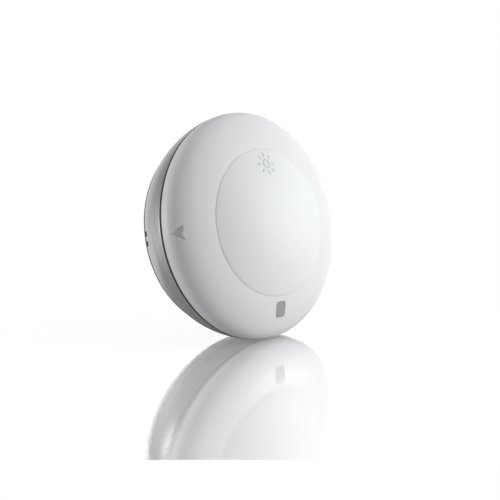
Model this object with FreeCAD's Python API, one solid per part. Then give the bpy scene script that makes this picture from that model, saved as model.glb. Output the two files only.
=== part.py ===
import FreeCAD, Part
import math
import os

# A wall-mounted sun sensor. Lengths are millimetres and angles are degrees.
# It is drawn lying on its back: x to the right, y towards 12 o'clock and z from the wall to the
# front, with z = 0 on the wall. Angles run counter-clockwise from x, seen from the front.
# stand_up then turns each piece upright, so that the front faces -Y and 12 o'clock is +Z.

# How far a fused detail starts inside the piece that carries it
sink = 0.5

# Outline of the body
body_diameter = 110.0
seal_line_inset = 0.1
rear_inset = 7.6
seal_height = 21.3
widest_above_seal = 2.85
face_height = 15.2
face_power = 2.17
rear_draft = 0.75

# Front cover
cover_wall = 2.0
blade_angles = (45, 135, 225, 315)
blade_width = 8.0
blade_thickness = 1.5
blade_inset = 2.4
blade_tip_gap = 1.6

# Arrow recess in the cover's left shoulder
arrow_angle = 180
arrow_width = 6.6
arrow_tip_above_seal = 4.8
arrow_base_inset = 4.6
arrow_depth = 1.9
arrow_backing = 1.6
arrow_wall_lean = 0.4

# Domed window over the light sensor
shoulder_width = 19.7
window_step = 0.1
window_rise = 6.4
window_wall = 2.0
window_edge_round = 0.1
window_ledge_width = 1.8
window_ledge_thickness = 0.9
window_clearance = 0.02

# Status window at 6 o'clock
status_inset = 13.4
status_width = 6.2
status_length = 7.5
status_corner = 1.6
status_clearance = 0.08
status_thickness = 1.9

# Seal between cover and housing
seal_thickness = 1.5
seal_recess = 0.4
seal_clearance = 0.1

# Rear housing
housing_wall = 2.0
floor_height = 6.0
floor_thickness = 2.0
spigot_wall = 1.5
spigot_height = 3.5
spigot_clearance = 0.2
spigot_root = 4.2
rear_edge_round = 0.35

# Wall plate and its bayonet hooks
flange_thickness = 1.0
flange_inset = 0.4
plate_gap = 0.2
pad_height = 2.4
pad_clearance = 0.3
turn_angle = 16.0
hook_angles = (90, 210, 330)
hook_arc = 14.0
hook_inset = 6.2
hook_stem = 1.8
hook_reach = 2.3
hook_clearance = 0.3
hook_thickness = 1.2
hook_stop_arc = 2.2
hook_window_clearance = 0.15
lug_thickness = 1.3
lug_clearance = 0.2
lug_start_gap = 0.3
screw_inset = 25.0
slot_width = 4.4
slot_length = 8.0
slot_recess_width = 9.4
slot_recess_depth = 0.7
up_mark_size = 9.0
up_mark_height = 0.4
up_mark_place = 20.0

# Release tongue between two slits in the housing's rear edge
tongue_angle = 180
tongue_width = 2.0
tongue_thickness = 1.4
tongue_root_height = 4.6
slit_width = 2.5
knuckle_clearance = 0.1
cam_depth = 0.5
cam_rise = 0.2
cam_clearance = 0.1
tongue_end_lift = 0.1
nose_lift = 0.35
nose_height = 0.65
nose_ramp = 1.2

# Main board and the bosses under it
boss_height = 4.0
boss_diameter = 7.0
board_thickness = 1.6
board_clearance = 0.6
screw_shank_radius = 1.2
screw_hole_clearance = 0.05
board_hole_clearance = 0.3
board_notch_radius = 1.2
screw_head_radius = 2.4
screw_head_height = 1.6
screw_head_round = 0.5
screw_cross = (2.4, 0.6)
screw_cross_depth = 0.9
screw_length = 5.6
screw_bore_depth = 0.6
board_screw_inset = 5.0
board_screw_angles = (90, 192, 348)

# Steel clips that grip the cover's blades
clip_seat_drop = 5.8
clip_seat_margin = 0.7
clip_seat_width = 8.8
clip_steel = 0.35
clip_grip = 0.05
clip_height = 6.2
clip_width = 6.4
clip_lip = 0.8
clip_peg_radius = 0.6
clip_peg_height = 0.9

# Two AAA cells and their holder
cell_diameter = 10.5
cell_length = 44.5
cell_nub_diameter = 3.8
cell_nub_length = 1.1
cell_rim_round = 0.5
cell_clearance = 0.15
cell_pitch = 10.9
holder_floor = 1.2
holder_wall = 1.0
holder_board_margin = 0.2
holder_pipe_gap = 0.5
holder_cradle_height = 6.2
holder_end_height = 10.6
holder_notch = 1.5
contact_steel = 0.4
contact_width = 8.0
contact_height = 8.4
bridge_height = 2.0
spring_depth = 2.6
spring_width = 3.6
spring_foot = 3.4
spring_flat = 0.6
spring_tip = 2.2
spring_return = 1.4
button_depth = 0.6
contact_gap = 0.05

# Light sensor and light well
diode_length = 5.0
diode_width = 4.0
diode_height = 1.2
diode_round = 0.3
lens_radius = 1.6
well_bore_radius = 3.4
well_collar_height = 2.4
well_wall = 1.1
well_mouth_inset = 21.7
well_mouth_gap = 2.6

# Control bezel with its two screw wells
bezel_height = 6.4
bezel_thickness = 1.5
bezel_inner_radius = 17.5
bezel_inset = 7.0
bezel_start = 14.0
bezel_rim_height = 0.8
bezel_rim_width = 1.2
bezel_well_inset = 5.6
bezel_well_angle = 24.0
bezel_well_outer = 3.4
bezel_foot_height = 2.4
bezel_screw_length = 7.2

# Program button and its switch
control_inset = 8.6
control_angle = 55.0
switch_size = 6.0
switch_height = 3.5
switch_chamfer = 0.3
switch_leg_pitch = 3.0
leg_reach = 0.9
leg_width = 0.8
plunger_radius = 1.7
plunger_height = 1.2
plunger_length = 2.2
plunger_clearance = 0.1
button_travel = 0.5
button_radius = 4.4
button_clearance = 0.2
button_above_bezel = 1.9
button_flange = 0.8
button_flange_thickness = 0.9
button_lift = 0.1
button_dish = 0.5
button_round = 0.6

# Threshold dial and its potentiometer
pot_size = 10.0
pot_height = 4.4
pot_collar = 0.4
pot_leg_pitch = 2.5
spindle_foot_height = 0.9
spindle_radius = 2.0
spindle_clearance = 0.05
dial_fit = 0.02
dial_radius = 7.5
dial_height = 3.0
dial_lift = 0.4
hub_radius = 3.2
hub_clearance = 0.4
grip_count = 24
grip_radius = 0.5
grip_shift = 0.15
dial_slot_width = 1.4
dial_slot_length = 9.8
dial_slot_depth = 1.2
dial_roof = 0.6
dial_round = 0.5

# Electronics on the board, in a band above the battery holder
part_gap = 0.8
chip_size = 7.0
chip_height = 1.3
chip_chamfer = 0.25
chip_stand_off = 0.1
chip_inset = 18.6
pins_a_side = 8
pin_pitch = 0.8
pin_width = 0.35
pin_reach = 1.3
pin_overhang = 1.0
crystal_shift = 12.0
crystal_length = 10.6
crystal_width = 4.2
crystal_height = 3.4
crystal_flange = 0.4
radio_inset = 17.6
radio_length = 14.0
radio_width = 10.0
radio_board_thickness = 0.9
shield_margin = 1.2
shield_height = 2.2
shield_corner = 0.5
capacitor_inset = 7.8
capacitor_angle = 8.0
capacitor_radius = 3.15
capacitor_height = 7.2
capacitor_foot = 0.8
capacitor_groove = 0.25
antenna_wire = 1.0
antenna_inset = 2.6
antenna_height = 5.0
antenna_start = 103.0
antenna_end = 162.0
small_part = (1.6, 0.8, 0.6)
small_part_pitch = 2.2
small_part_gap = 0.6
chip_row_count = 5
radio_row_count = 3
crystal_row_count = 2
led_size = (3.2, 2.8)
led_height = 1.5
led_clearance = 0.3

# Status light pipe
pipe_foot_radius = 3.0
pipe_foot_height = 2.6
pipe_radius = 1.5
pipe_head_margin = 0.6
pipe_head_length = 3.0
pipe_window_gap = 0.8

# Levels and radii that follow from the sizes above
body_radius = body_diameter / 2
seal_line_radius = body_radius - seal_line_inset
rear_end_radius = body_radius - rear_inset
arrow_base_radius = body_radius - arrow_base_inset
window_radius = body_radius - shoulder_width
status_drop = body_radius - status_inset
widest_height = seal_height + widest_above_seal
cover_edge = seal_height + seal_thickness / 2
housing_edge = seal_height - seal_thickness / 2
rear_edge = flange_thickness + plate_gap
floor_level = floor_height + floor_thickness
board_level = floor_level + boss_height
board_top = board_level + board_thickness
spigot_outer = seal_line_radius - cover_wall - spigot_clearance
spigot_inner = spigot_outer - spigot_wall
blade_outer = spigot_inner - blade_inset
blade_inner = blade_outer - blade_thickness
clip_seat = housing_edge - clip_seat_drop
clip_seat_inner = blade_inner - clip_grip - clip_steel - clip_seat_margin
board_radius = clip_seat_inner - board_clearance
board_screw_radius = board_radius - board_screw_inset
bezel_outer_radius = board_radius - bezel_inset
bezel_well_radius = bezel_outer_radius - bezel_well_inset
control_radius = bezel_outer_radius - control_inset
antenna_radius = board_radius - antenna_inset
well_mouth_radius = window_radius - well_mouth_inset
bezel_level = board_top + bezel_height
bezel_top = bezel_level + bezel_thickness
status_y = -status_drop
face_top = widest_height + face_height
blade_middle = (blade_inner + blade_outer) / 2


def polar(radius, angle):
    """The x and y of a point at a radius and an angle about the body's axis."""
    return radius * math.cos(math.radians(angle)), radius * math.sin(math.radians(angle))


def cylinder(radius, bottom, top, x=0.0, y=0.0):
    """An upright round bar from one height to another."""
    return Part.makeCylinder(radius, top - bottom, FreeCAD.Vector(x, y, bottom))


def ring(inner, outer, bottom, top, x=0.0, y=0.0):
    """An upright tube."""
    return cylinder(outer, bottom, top, x, y).cut(cylinder(inner, bottom - 1, top + 1, x, y))


def arc_ring(inner, outer, bottom, top, start, end):
    """The stretch of an upright tube about the body's axis between two angles."""
    up = FreeCAD.Vector(0, 0, 1)
    outside = Part.makeCylinder(outer, top - bottom, FreeCAD.Vector(0, 0, bottom), up, end - start)
    inside = cylinder(inner, bottom - 1, top + 1)
    stretch = outside.cut(inside)
    stretch.rotate(FreeCAD.Vector(0, 0, 0), up, start)
    return stretch


def block(length, width, bottom, top, x=0.0, y=0.0):
    """A box centred on a point in plan, with its length along x."""
    corner = FreeCAD.Vector(x - length / 2, y - width / 2, bottom)
    return Part.makeBox(length, width, top - bottom, corner)


def turned_about_axis(shape, angle):
    """A copy of a shape, turned about the body's axis."""
    copy = shape.copy()
    copy.rotate(FreeCAD.Vector(0, 0, 0), FreeCAD.Vector(0, 0, 1), angle)
    return copy


def rounded_plate(length, width, corner, bottom, top, x=0.0, y=0.0):
    """A block with its four upright corners rounded."""
    plate = block(length, width, bottom, top, x, y)
    upright = [edge for edge in plate.Edges if abs(edge.BoundBox.ZLength - (top - bottom)) < 1e-6]
    return plate.makeFillet(corner, upright)


def slot(length, width, bottom, top, x=0.0, y=0.0):
    """A round-ended bar lying along x."""
    half = (length - width) / 2
    bar = block(2 * half, width, bottom, top, x, y)
    left = cylinder(width / 2, bottom, top, x - half, y)
    right = cylinder(width / 2, bottom, top, x + half, y)
    return bar.fuse([left, right]).removeSplitter()


def edges_at(shape, level):
    """The edges of a shape that lie wholly at one height."""
    return [edge for edge in shape.Edges
            if abs(edge.BoundBox.ZMin - level) < 0.01 and abs(edge.BoundBox.ZMax - level) < 0.01]


def extrude_side(points, width):
    """A side outline of (radius, height) points, made width thick and centred on y = 0."""
    corners = [FreeCAD.Vector(radius, -width / 2, height) for radius, height in points]
    outline = Part.makePolygon(corners + corners[:1])
    return Part.Face(outline).extrude(FreeCAD.Vector(0, width, 0))


def turn_profile(edges):
    """The solid made by turning a closed outline of edges about the body's axis."""
    face = Part.Face(Part.Wire(edges))
    return face.revolve(FreeCAD.Vector(0, 0, 0), FreeCAD.Vector(0, 0, 1), 360)


def line(start, end):
    """A straight edge between two (radius, height) points."""
    return Part.makeLine(FreeCAD.Vector(start[0], 0, start[1]), FreeCAD.Vector(end[0], 0, end[1]))


def one_solid(shape):
    """The single solid that a shape holds."""
    solids = shape.removeSplitter().Solids
    assert len(solids) == 1, "expected one solid, found %d" % len(solids)
    return solids[0]


def group(shapes):
    """Several separate solids as one piece."""
    return Part.makeCompound([solid for shape in shapes for solid in shape.Solids])


def stand_up(shape, node):
    """Turns a piece upright and writes it under its name."""
    upright = shape.copy()
    upright.rotate(FreeCAD.Vector(0, 0, 0), FreeCAD.Vector(1, 0, 0), 90)
    upright.exportStep("parts/%s.step" % node)


def face_level(radius, wall=0.0):
    """Height of the cover's outer face at a radius, or of its inner face for a wall thickness.

    The face is a superellipse: radius and height, each as a share of its largest value and
    raised to face_power, add up to one.
    """
    share = (radius / (body_radius - wall)) ** face_power
    return widest_height + (face_height - wall) * (1 - share) ** (1 / face_power)


def face_edge(wall):
    """The superellipse from the widest circle to the axis, as a spline through its points."""
    steps = 10
    points = []
    for step in range(steps + 1):
        angle = math.radians(90 * step / steps)
        radius = (body_radius - wall) * abs(math.cos(angle)) ** (2 / face_power)
        height = widest_height + (face_height - wall) * math.sin(angle) ** (2 / face_power)
        points.append(FreeCAD.Vector(0 if step == steps else radius, 0, height))
    curve = Part.BSplineCurve()
    outward = FreeCAD.Vector(0, 0, 1)
    inward = FreeCAD.Vector(-1, 0, 0)
    curve.interpolate(points, InitialTangent=outward, FinalTangent=inward)
    return curve.toShape()


def face_solid(wall):
    """All that lies under the cover's face, down to the cover's edge."""
    side = body_radius - wall
    foot = seal_line_radius - wall
    top = face_top - wall
    return turn_profile([
        line((0, cover_edge), (foot, cover_edge)),
        line((foot, cover_edge), (side, widest_height)),
        face_edge(wall),
        line((0, top), (0, cover_edge)),
    ])


def rear_radius(height):
    """Radius of the body's outside behind the seal: a parabola from the seal to the wall."""
    share = (seal_height - height) / seal_height
    fall = seal_line_radius - 2 * rear_draft - rear_end_radius
    return seal_line_radius - 2 * rear_draft * share - fall * share ** 2


def rear_solid(wall, bottom, top):
    """All that lies inside the body's outside behind the seal, less a wall, between two heights."""
    start = FreeCAD.Vector(rear_end_radius - wall, 0, 0)
    middle = FreeCAD.Vector(seal_line_radius - rear_draft - wall, 0, seal_height / 2)
    end = FreeCAD.Vector(seal_line_radius - wall, 0, seal_height)
    curve = Part.BezierCurve()
    curve.setPoles([start, middle, end])
    body = turn_profile([
        line((0, 0), (start.x, 0)),
        curve.toShape(),
        line((end.x, seal_height), (0, seal_height)),
        line((0, seal_height), (0, 0)),
    ])
    return body.common(cylinder(body_diameter, bottom, top))


def dome(radius, bottom, rise):
    """A spherical cap that stands on a circle."""
    ball = (radius ** 2 + rise ** 2) / (2 * rise)
    half = math.asin(radius / ball) / 2
    middle = FreeCAD.Vector(ball * math.sin(half), 0, bottom + rise - ball * (1 - math.cos(half)))
    start = FreeCAD.Vector(radius, 0, bottom)
    end = FreeCAD.Vector(0, 0, bottom + rise)
    return turn_profile([
        line((0, bottom), (radius, bottom)),
        Part.Arc(start, middle, end).toShape(),
        line((0, bottom + rise), (0, bottom)),
    ])


def arrow_cutter():
    """The triangular recess: a wedge in plan over a floor that falls towards the arrow's base."""
    tip = cover_radius_at(arrow_tip_above_seal)
    base_level = face_level(arrow_base_radius) - arrow_depth
    tip_level = seal_height + arrow_tip_above_seal
    outside = body_radius + 2
    slope = (base_level - tip_level) / (tip - arrow_base_radius)
    above = face_level(arrow_base_radius) + 1
    lean = arrow_wall_lean * (above - base_level) / arrow_depth
    profile = [
        (outside, tip_level - slope * (outside - tip)),
        (arrow_base_radius, base_level),
        (arrow_base_radius - lean, above),
        (outside, above),
    ]
    wedge_length = tip - arrow_base_radius
    far = lean / wedge_length
    corners = [
        FreeCAD.Vector(tip, 0, 0),
        FreeCAD.Vector(arrow_base_radius - lean, arrow_width / 2 * (1 + far), 0),
        FreeCAD.Vector(arrow_base_radius - lean, -arrow_width / 2 * (1 + far), 0),
    ]
    plan = Part.Face(Part.makePolygon(corners + corners[:1]))
    wedge = plan.extrude(FreeCAD.Vector(0, 0, above + 1))
    return turned_about_axis(extrude_side(profile, 2 * arrow_width).common(wedge), arrow_angle)


def cover_radius_at(above_seal):
    """Radius of the cover's outside at a height above the seal."""
    share = (above_seal - widest_above_seal) / face_height
    return body_radius * (1 - share ** face_power) ** (1 / face_power)


def arrow_pad():
    """Extra thickness behind the arrow recess, parallel to its floor."""
    tip = cover_radius_at(arrow_tip_above_seal)
    tip_level = seal_height + arrow_tip_above_seal - arrow_backing
    base_level = face_level(arrow_base_radius) - arrow_depth - arrow_backing
    inner = arrow_base_radius - 2 * arrow_backing
    top = base_level + arrow_backing + arrow_depth
    pad = extrude_side([
        (tip, tip_level),
        (tip, top),
        (inner, top),
        (inner, base_level),
        (arrow_base_radius, base_level),
    ], arrow_width + 2 * arrow_backing)
    clear = housing_edge + spigot_height + seal_thickness
    pad = pad.cut(cylinder(body_diameter, 0, clear))
    return turned_about_axis(pad, arrow_angle).common(face_solid(cover_wall / 2))


def front_cover():
    """White cover shell with its four blades, its window seat and the arrow recess."""
    shell = face_solid(0).cut(face_solid(cover_wall))
    tip = clip_seat + clip_steel + blade_tip_gap
    blades = []
    for angle in blade_angles:
        blade = block(blade_thickness, blade_width, tip, face_top, blade_middle)
        blades.append(turned_about_axis(blade, angle).common(face_solid_down_to(tip)))
    ledge_inner = window_radius - window_ledge_width
    ledge_level = face_level(window_radius, cover_wall)
    seat_level = ledge_level + window_ledge_thickness
    ledge = ring(ledge_inner, window_radius + cover_wall, ledge_level - window_step, seat_level)
    shell = shell.fuse(blades + [ledge, arrow_pad()])
    cuts = [
        cylinder(ledge_inner, ledge_level - cover_wall, face_top + 1),
        cylinder(window_radius + window_clearance, seat_level, face_top + 1),
        arrow_cutter(),
        status_prism(status_clearance),
    ]
    for cut in cuts:
        shell = shell.cut(cut)
    return one_solid(shell)


def face_solid_down_to(bottom):
    """All that lies under the middle of the cover's wall, with a straight side down to a height."""
    middle = face_solid(cover_wall / 2)
    return middle.fuse(cylinder(body_radius - cover_wall, bottom, widest_height)).removeSplitter()


def sun_window():
    """Domed diffuser with an upright rim that drops into the cover's seat."""
    bottom = face_level(window_radius, cover_wall) + window_ledge_thickness
    edge = face_level(window_radius) + window_step
    outer = cylinder(window_radius, bottom, edge).fuse(dome(window_radius, edge, window_rise))
    outer = outer.removeSplitter()
    outer = outer.makeFillet(window_edge_round, edges_at(outer, edge))
    inner_radius = window_radius - window_wall
    inner_rise = window_rise * (1 - window_wall / window_radius)
    inner_edge = edge + window_rise - window_wall - inner_rise
    inner = cylinder(inner_radius, bottom - 1, inner_edge)
    inner = inner.fuse(dome(inner_radius, inner_edge, inner_rise))
    return one_solid(outer.cut(inner))


def status_prism(clearance):
    """Upright bar with the status window's outline, grown by a clearance."""
    length = status_length + 2 * clearance
    width = status_width + 2 * clearance
    corner = status_corner + clearance
    return rounded_plate(width, length, corner, floor_level, face_top + 1, 0, status_y)


def status_window():
    """Smoked window set flush into the cover."""
    outside = face_solid(0).common(status_prism(0))
    return one_solid(outside.cut(face_solid(status_thickness)))


def cover_seal():
    """Flat rubber ring with a rounded outer bead."""
    inner = spigot_outer + seal_clearance
    outer = seal_line_radius - seal_recess
    bead = seal_thickness / 2
    low = housing_edge
    high = cover_edge
    start = FreeCAD.Vector(outer - bead, 0, low)
    middle = FreeCAD.Vector(outer, 0, (low + high) / 2)
    end = FreeCAD.Vector(outer - bead, 0, high)
    return turn_profile([
        line((inner, low), (outer - bead, low)),
        Part.Arc(start, middle, end).toShape(),
        line((outer - bead, high), (inner, high)),
        line((inner, high), (inner, low)),
    ])


def pad_radius():
    """Radius of the wall plate's raised pad, which fills the housing's rear opening."""
    return rear_radius(rear_edge) - housing_wall - pad_clearance


def hook_inner():
    """Inner radius of the hooks' stems."""
    return pad_radius() - hook_inset


def cam_radius(angle):
    """Radius of the cam that the tongue's nose rides, at an angle past the tongue."""
    return pad_radius() - cam_depth + cam_rise * angle / turn_angle


def cam_cutter():
    """Groove in the pad's edge whose floor rises steadily over the housing's turn."""
    margin = math.degrees((tongue_width / 2 + slit_width) / pad_radius())
    steps = 8
    start = -margin
    end = turn_angle + margin
    floor = []
    for step in range(steps + 1):
        angle = start + (end - start) * step / steps
        x, y = polar(cam_radius(angle), tongue_angle + angle)
        floor.append(FreeCAD.Vector(x, y, 0))
    curve = Part.BSplineCurve()
    curve.interpolate(floor)
    far = pad_radius() + 1
    far_start = FreeCAD.Vector(*polar(far, tongue_angle + start), 0)
    far_middle = FreeCAD.Vector(*polar(far, tongue_angle + (start + end) / 2), 0)
    far_end = FreeCAD.Vector(*polar(far, tongue_angle + end), 0)
    outline = Part.Wire([
        curve.toShape(),
        Part.makeLine(floor[-1], far_end),
        Part.Arc(far_end, far_middle, far_start).toShape(),
        Part.makeLine(far_start, floor[0]),
    ])
    groove = Part.Face(outline).extrude(FreeCAD.Vector(0, 0, pad_height))
    groove.translate(FreeCAD.Vector(0, 0, flange_thickness))
    return groove


def hook_levels():
    """Underside and top of the hook heads."""
    under = pad_height + lug_clearance + lug_thickness + lug_clearance
    return under, under + hook_thickness


def wall_plate():
    """Round plate for the wall, with slotted screw holes, three hooks and the cam edge."""
    flange = cylinder(rear_radius(rear_edge) - flange_inset, 0, flange_thickness)
    pad = cylinder(pad_radius(), 0, pad_height)
    under, top = hook_levels()
    stem_inner = hook_inner()
    stem_outer = stem_inner + hook_stem
    head_outer = stem_outer + hook_reach
    lug_top = pad_height + lug_clearance + lug_thickness
    pieces = [pad]
    windows = []
    for angle in hook_angles:
        start = angle - hook_arc / 2
        end = angle + hook_arc / 2
        pieces.append(arc_ring(stem_inner, stem_outer, pad_height - sink, top, start, end))
        pieces.append(arc_ring(stem_inner, head_outer, under, top, start, end))
        first = start - hook_stop_arc
        pieces.append(arc_ring(stem_inner, head_outer, pad_height - sink, top, first, start))
        last = end + turn_angle + 2 * lug_start_gap
        last_end = last + hook_stop_arc
        pieces.append(arc_ring(stem_inner, head_outer, pad_height - sink, lug_top, last, last_end))
        window_outer = head_outer + hook_window_clearance
        windows.append(arc_ring(stem_outer, window_outer, -1, pad_height + 0.1, start, end))
    plate = flange.fuse(pieces).removeSplitter()
    for window in windows:
        plate = plate.cut(window)
    for x in (screw_inset - body_radius, body_radius - screw_inset):
        plate = plate.cut(slot(slot_length, slot_width, -1, pad_height + 1, x))
        recess_length = slot_length + slot_recess_width - slot_width
        recess_level = pad_height - slot_recess_depth
        plate = plate.cut(slot(recess_length, slot_recess_width, recess_level, pad_height + 1, x))
    plate = plate.fuse(up_mark()).cut(cam_cutter())
    return one_solid(plate)


def up_mark():
    """Low triangle on the pad that points to 12 o'clock."""
    half = up_mark_size / 2
    corners = [
        FreeCAD.Vector(-half, up_mark_place, pad_height - sink),
        FreeCAD.Vector(half, up_mark_place, pad_height - sink),
        FreeCAD.Vector(0, up_mark_place + up_mark_size, pad_height - sink),
    ]
    face = Part.Face(Part.makePolygon(corners + corners[:1]))
    return face.extrude(FreeCAD.Vector(0, 0, sink + up_mark_height))


def tongue_line():
    """Middle line of the tongue: its hinge point at the root and its free end, as (radius, height)."""
    root = (rear_radius(tongue_root_height) - tongue_thickness / 2, tongue_root_height)
    end_level = rear_edge + tongue_end_lift
    end = (rear_radius(end_level) - tongue_thickness / 2, end_level)
    return root, end


def release_tongue():
    """Springy tongue with a round root and a nose that rides the wall plate's cam."""
    root, end = tongue_line()
    half = tongue_thickness / 2
    run = math.hypot(root[0] - end[0], root[1] - end[1])
    across = ((root[1] - end[1]) / run * half, -(root[0] - end[0]) / run * half)
    slab = extrude_side([
        (root[0] + across[0], root[1] + across[1]),
        (root[0] - across[0], root[1] - across[1]),
        (end[0] - half, end[1]),
        (end[0] + 2 * half, end[1]),
    ], tongue_width)
    knuckle_start = FreeCAD.Vector(root[0], -tongue_width / 2, root[1])
    knuckle = Part.makeCylinder(half, tongue_width, knuckle_start, FreeCAD.Vector(0, 1, 0))
    tip = cam_radius(0) + cam_clearance
    nose_bottom = rear_edge + nose_lift
    nose_top = nose_bottom + nose_height
    inner_face = rear_radius(nose_top) - tongue_thickness
    nose = extrude_side([
        (tip, nose_bottom),
        (inner_face + half, nose_bottom),
        (inner_face + half, nose_top + nose_ramp),
        (inner_face, nose_top + nose_ramp),
        (tip, nose_top),
    ], tongue_width)
    body = slab.fuse([knuckle, nose]).common(rear_solid(0, 0, seal_height))
    return one_solid(turned_about_axis(body, tongue_angle))


def tongue_opening():
    """What is cut from the housing round the tongue: the two slits and the seat of its root."""
    root, end = tongue_line()
    width = tongue_width + 2 * slit_width
    radius = tongue_thickness / 2 + knuckle_clearance
    inner = end[0] - housing_wall * 3
    outer = root[0] + 2 * housing_wall
    window = block(outer - inner, width, 0, root[1], (inner + outer) / 2)
    seat_start = FreeCAD.Vector(root[0], -width / 2, root[1])
    seat = Part.makeCylinder(radius, width, seat_start, FreeCAD.Vector(0, 1, 0))
    return turned_about_axis(window.fuse(seat), tongue_angle)


def boss_places():
    """Centres of the five bosses under the board."""
    places = [polar(board_screw_radius, angle) for angle in board_screw_angles]
    return places + bezel_well_places()


def bezel_well_places():
    """Centres of the bezel's two screw wells."""
    return [polar(bezel_well_radius, angle) for angle in (bezel_well_angle, 180 - bezel_well_angle)]


def clip_seat_block():
    """Pedestal that carries a clip, with a peg that holds the clip's base."""
    length = spigot_outer - clip_seat_inner
    middle = (spigot_outer + clip_seat_inner) / 2
    pedestal = block(length, clip_seat_width, floor_level - sink, clip_seat, middle)
    peg = cylinder(clip_peg_radius, clip_seat - sink, clip_seat + clip_peg_height, blade_middle)
    return pedestal.fuse(peg)


def rear_housing():
    """Rear shell with its floor, spigot, bosses, clip seats and bayonet lugs."""
    shell = rear_solid(0, rear_edge, housing_edge)
    low_edge = [curve for curve in shell.Edges if curve.BoundBox.ZMax < rear_edge + 0.01]
    shell = shell.makeFillet(rear_edge_round, low_edge)
    shell = shell.cut(rear_solid(housing_wall, 0, floor_height))
    shell = shell.cut(rear_solid(housing_wall, floor_level, seal_height))
    spigot = ring(spigot_inner, spigot_outer, housing_edge - spigot_root, housing_edge + spigot_height)
    root = rear_solid(housing_wall / 2, housing_edge - spigot_root, housing_edge)
    root = root.cut(cylinder(spigot_inner, 0, body_diameter))
    pieces = [spigot, root]
    lug_inner = hook_inner() + hook_stem + hook_clearance
    low = pad_height + lug_clearance
    for angle in hook_angles:
        start = angle - hook_arc / 2 + lug_start_gap
        lug = arc_ring(lug_inner, body_radius, low, low + lug_thickness, start, start + hook_arc)
        pieces.append(lug.common(rear_solid(housing_wall / 2, 0, seal_height)))
    for x, y in boss_places():
        pieces.append(cylinder(boss_diameter / 2, floor_level - sink, board_level, x, y))
    inside = rear_solid(housing_wall / 2, 0, housing_edge)
    for angle in blade_angles:
        seat = turned_about_axis(clip_seat_block(), angle)
        pieces.append(seat.common(inside))
    shell = shell.fuse(pieces).removeSplitter()
    bore = screw_shank_radius + screw_hole_clearance
    for x, y in boss_places():
        shell = shell.cut(cylinder(bore, floor_level - screw_bore_depth, board_level + 1, x, y))
    return one_solid(shell.cut(tongue_opening()))


def clip_spring():
    """One bent steel clip: a base and two leaves with lips that open outwards."""
    inner = blade_inner - clip_grip
    outer = blade_outer + clip_grip
    base = clip_seat
    top = base + clip_height
    bend = top - clip_lip
    steel = clip_steel
    profile = [
        (inner - steel, base), (outer + steel, base), (outer + steel, bend),
        (outer + steel + clip_lip, top), (outer + clip_lip, top), (outer, bend),
        (outer, base + steel), (inner, base + steel), (inner, bend),
        (inner - clip_lip, top), (inner - steel - clip_lip, top), (inner - steel, bend),
    ]
    clip = extrude_side(profile, clip_width)
    hole = cylinder(clip_peg_radius + screw_hole_clearance, base - 1, base + 2 * steel, blade_middle)
    return clip.cut(hole)


def clip_springs():
    """The four clips."""
    return group([turned_about_axis(clip_spring(), angle) for angle in blade_angles])


def screw(x, y, seat, length):
    """Pan-head screw with a cross recess, its head standing on a seat."""
    top = seat + screw_head_height
    head = cylinder(screw_head_radius, seat, top, x, y)
    head = head.makeFillet(screw_head_round, edges_at(head, top))
    body = head.fuse(cylinder(screw_shank_radius, seat - length, seat + sink, x, y))
    wide, narrow = screw_cross
    for length_x, length_y in ((wide, narrow), (narrow, wide)):
        body = body.cut(block(length_x, length_y, top - screw_cross_depth, top + 1, x, y))
    return one_solid(body)


def board_screws():
    """Three screws that hold the board."""
    places = [polar(board_screw_radius, angle) for angle in board_screw_angles]
    return group([screw(x, y, board_top, screw_length) for x, y in places])


def main_board():
    """Round circuit board with its screw holes and a locating notch at 12 o'clock."""
    board = cylinder(board_radius, board_level, board_top)
    for x, y in boss_places():
        hole = screw_shank_radius + board_hole_clearance
        board = board.cut(cylinder(hole, board_level - 1, board_top + 1, x, y))
    notch = cylinder(board_notch_radius, board_level - 1, board_top + 1, 0, board_radius)
    return one_solid(board.cut(notch))


def holder_half_length():
    """Half the length of the battery holder along x."""
    contacts = spring_depth + 2 * contact_steel + button_depth + 2 * contact_gap
    return (cell_length + contacts) / 2 + holder_wall


def holder_width():
    """Width of the battery holder along y."""
    return cell_pitch + cell_diameter + 2 * cell_clearance + 2 * holder_wall


def holder_top():
    """The y of the holder's upper side: its lower corners stay on the board, clear of the light pipe."""
    on_board = math.sqrt((board_radius - holder_board_margin) ** 2 - holder_half_length() ** 2)
    by_pipe = status_drop - pipe_foot_radius - holder_pipe_gap
    return holder_width() - min(on_board, by_pipe)


def holder_centre():
    """The y of the holder's middle."""
    return holder_top() - holder_width() / 2


def cell_axis():
    """Height of the cells' axes."""
    return board_top + holder_floor + cell_clearance + cell_diameter / 2


def cell_rows():
    """The y of each cell's axis, with the side of its positive end along x."""
    middle = holder_centre()
    return [(middle + cell_pitch / 2, 1), (middle - cell_pitch / 2, -1)]


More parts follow.
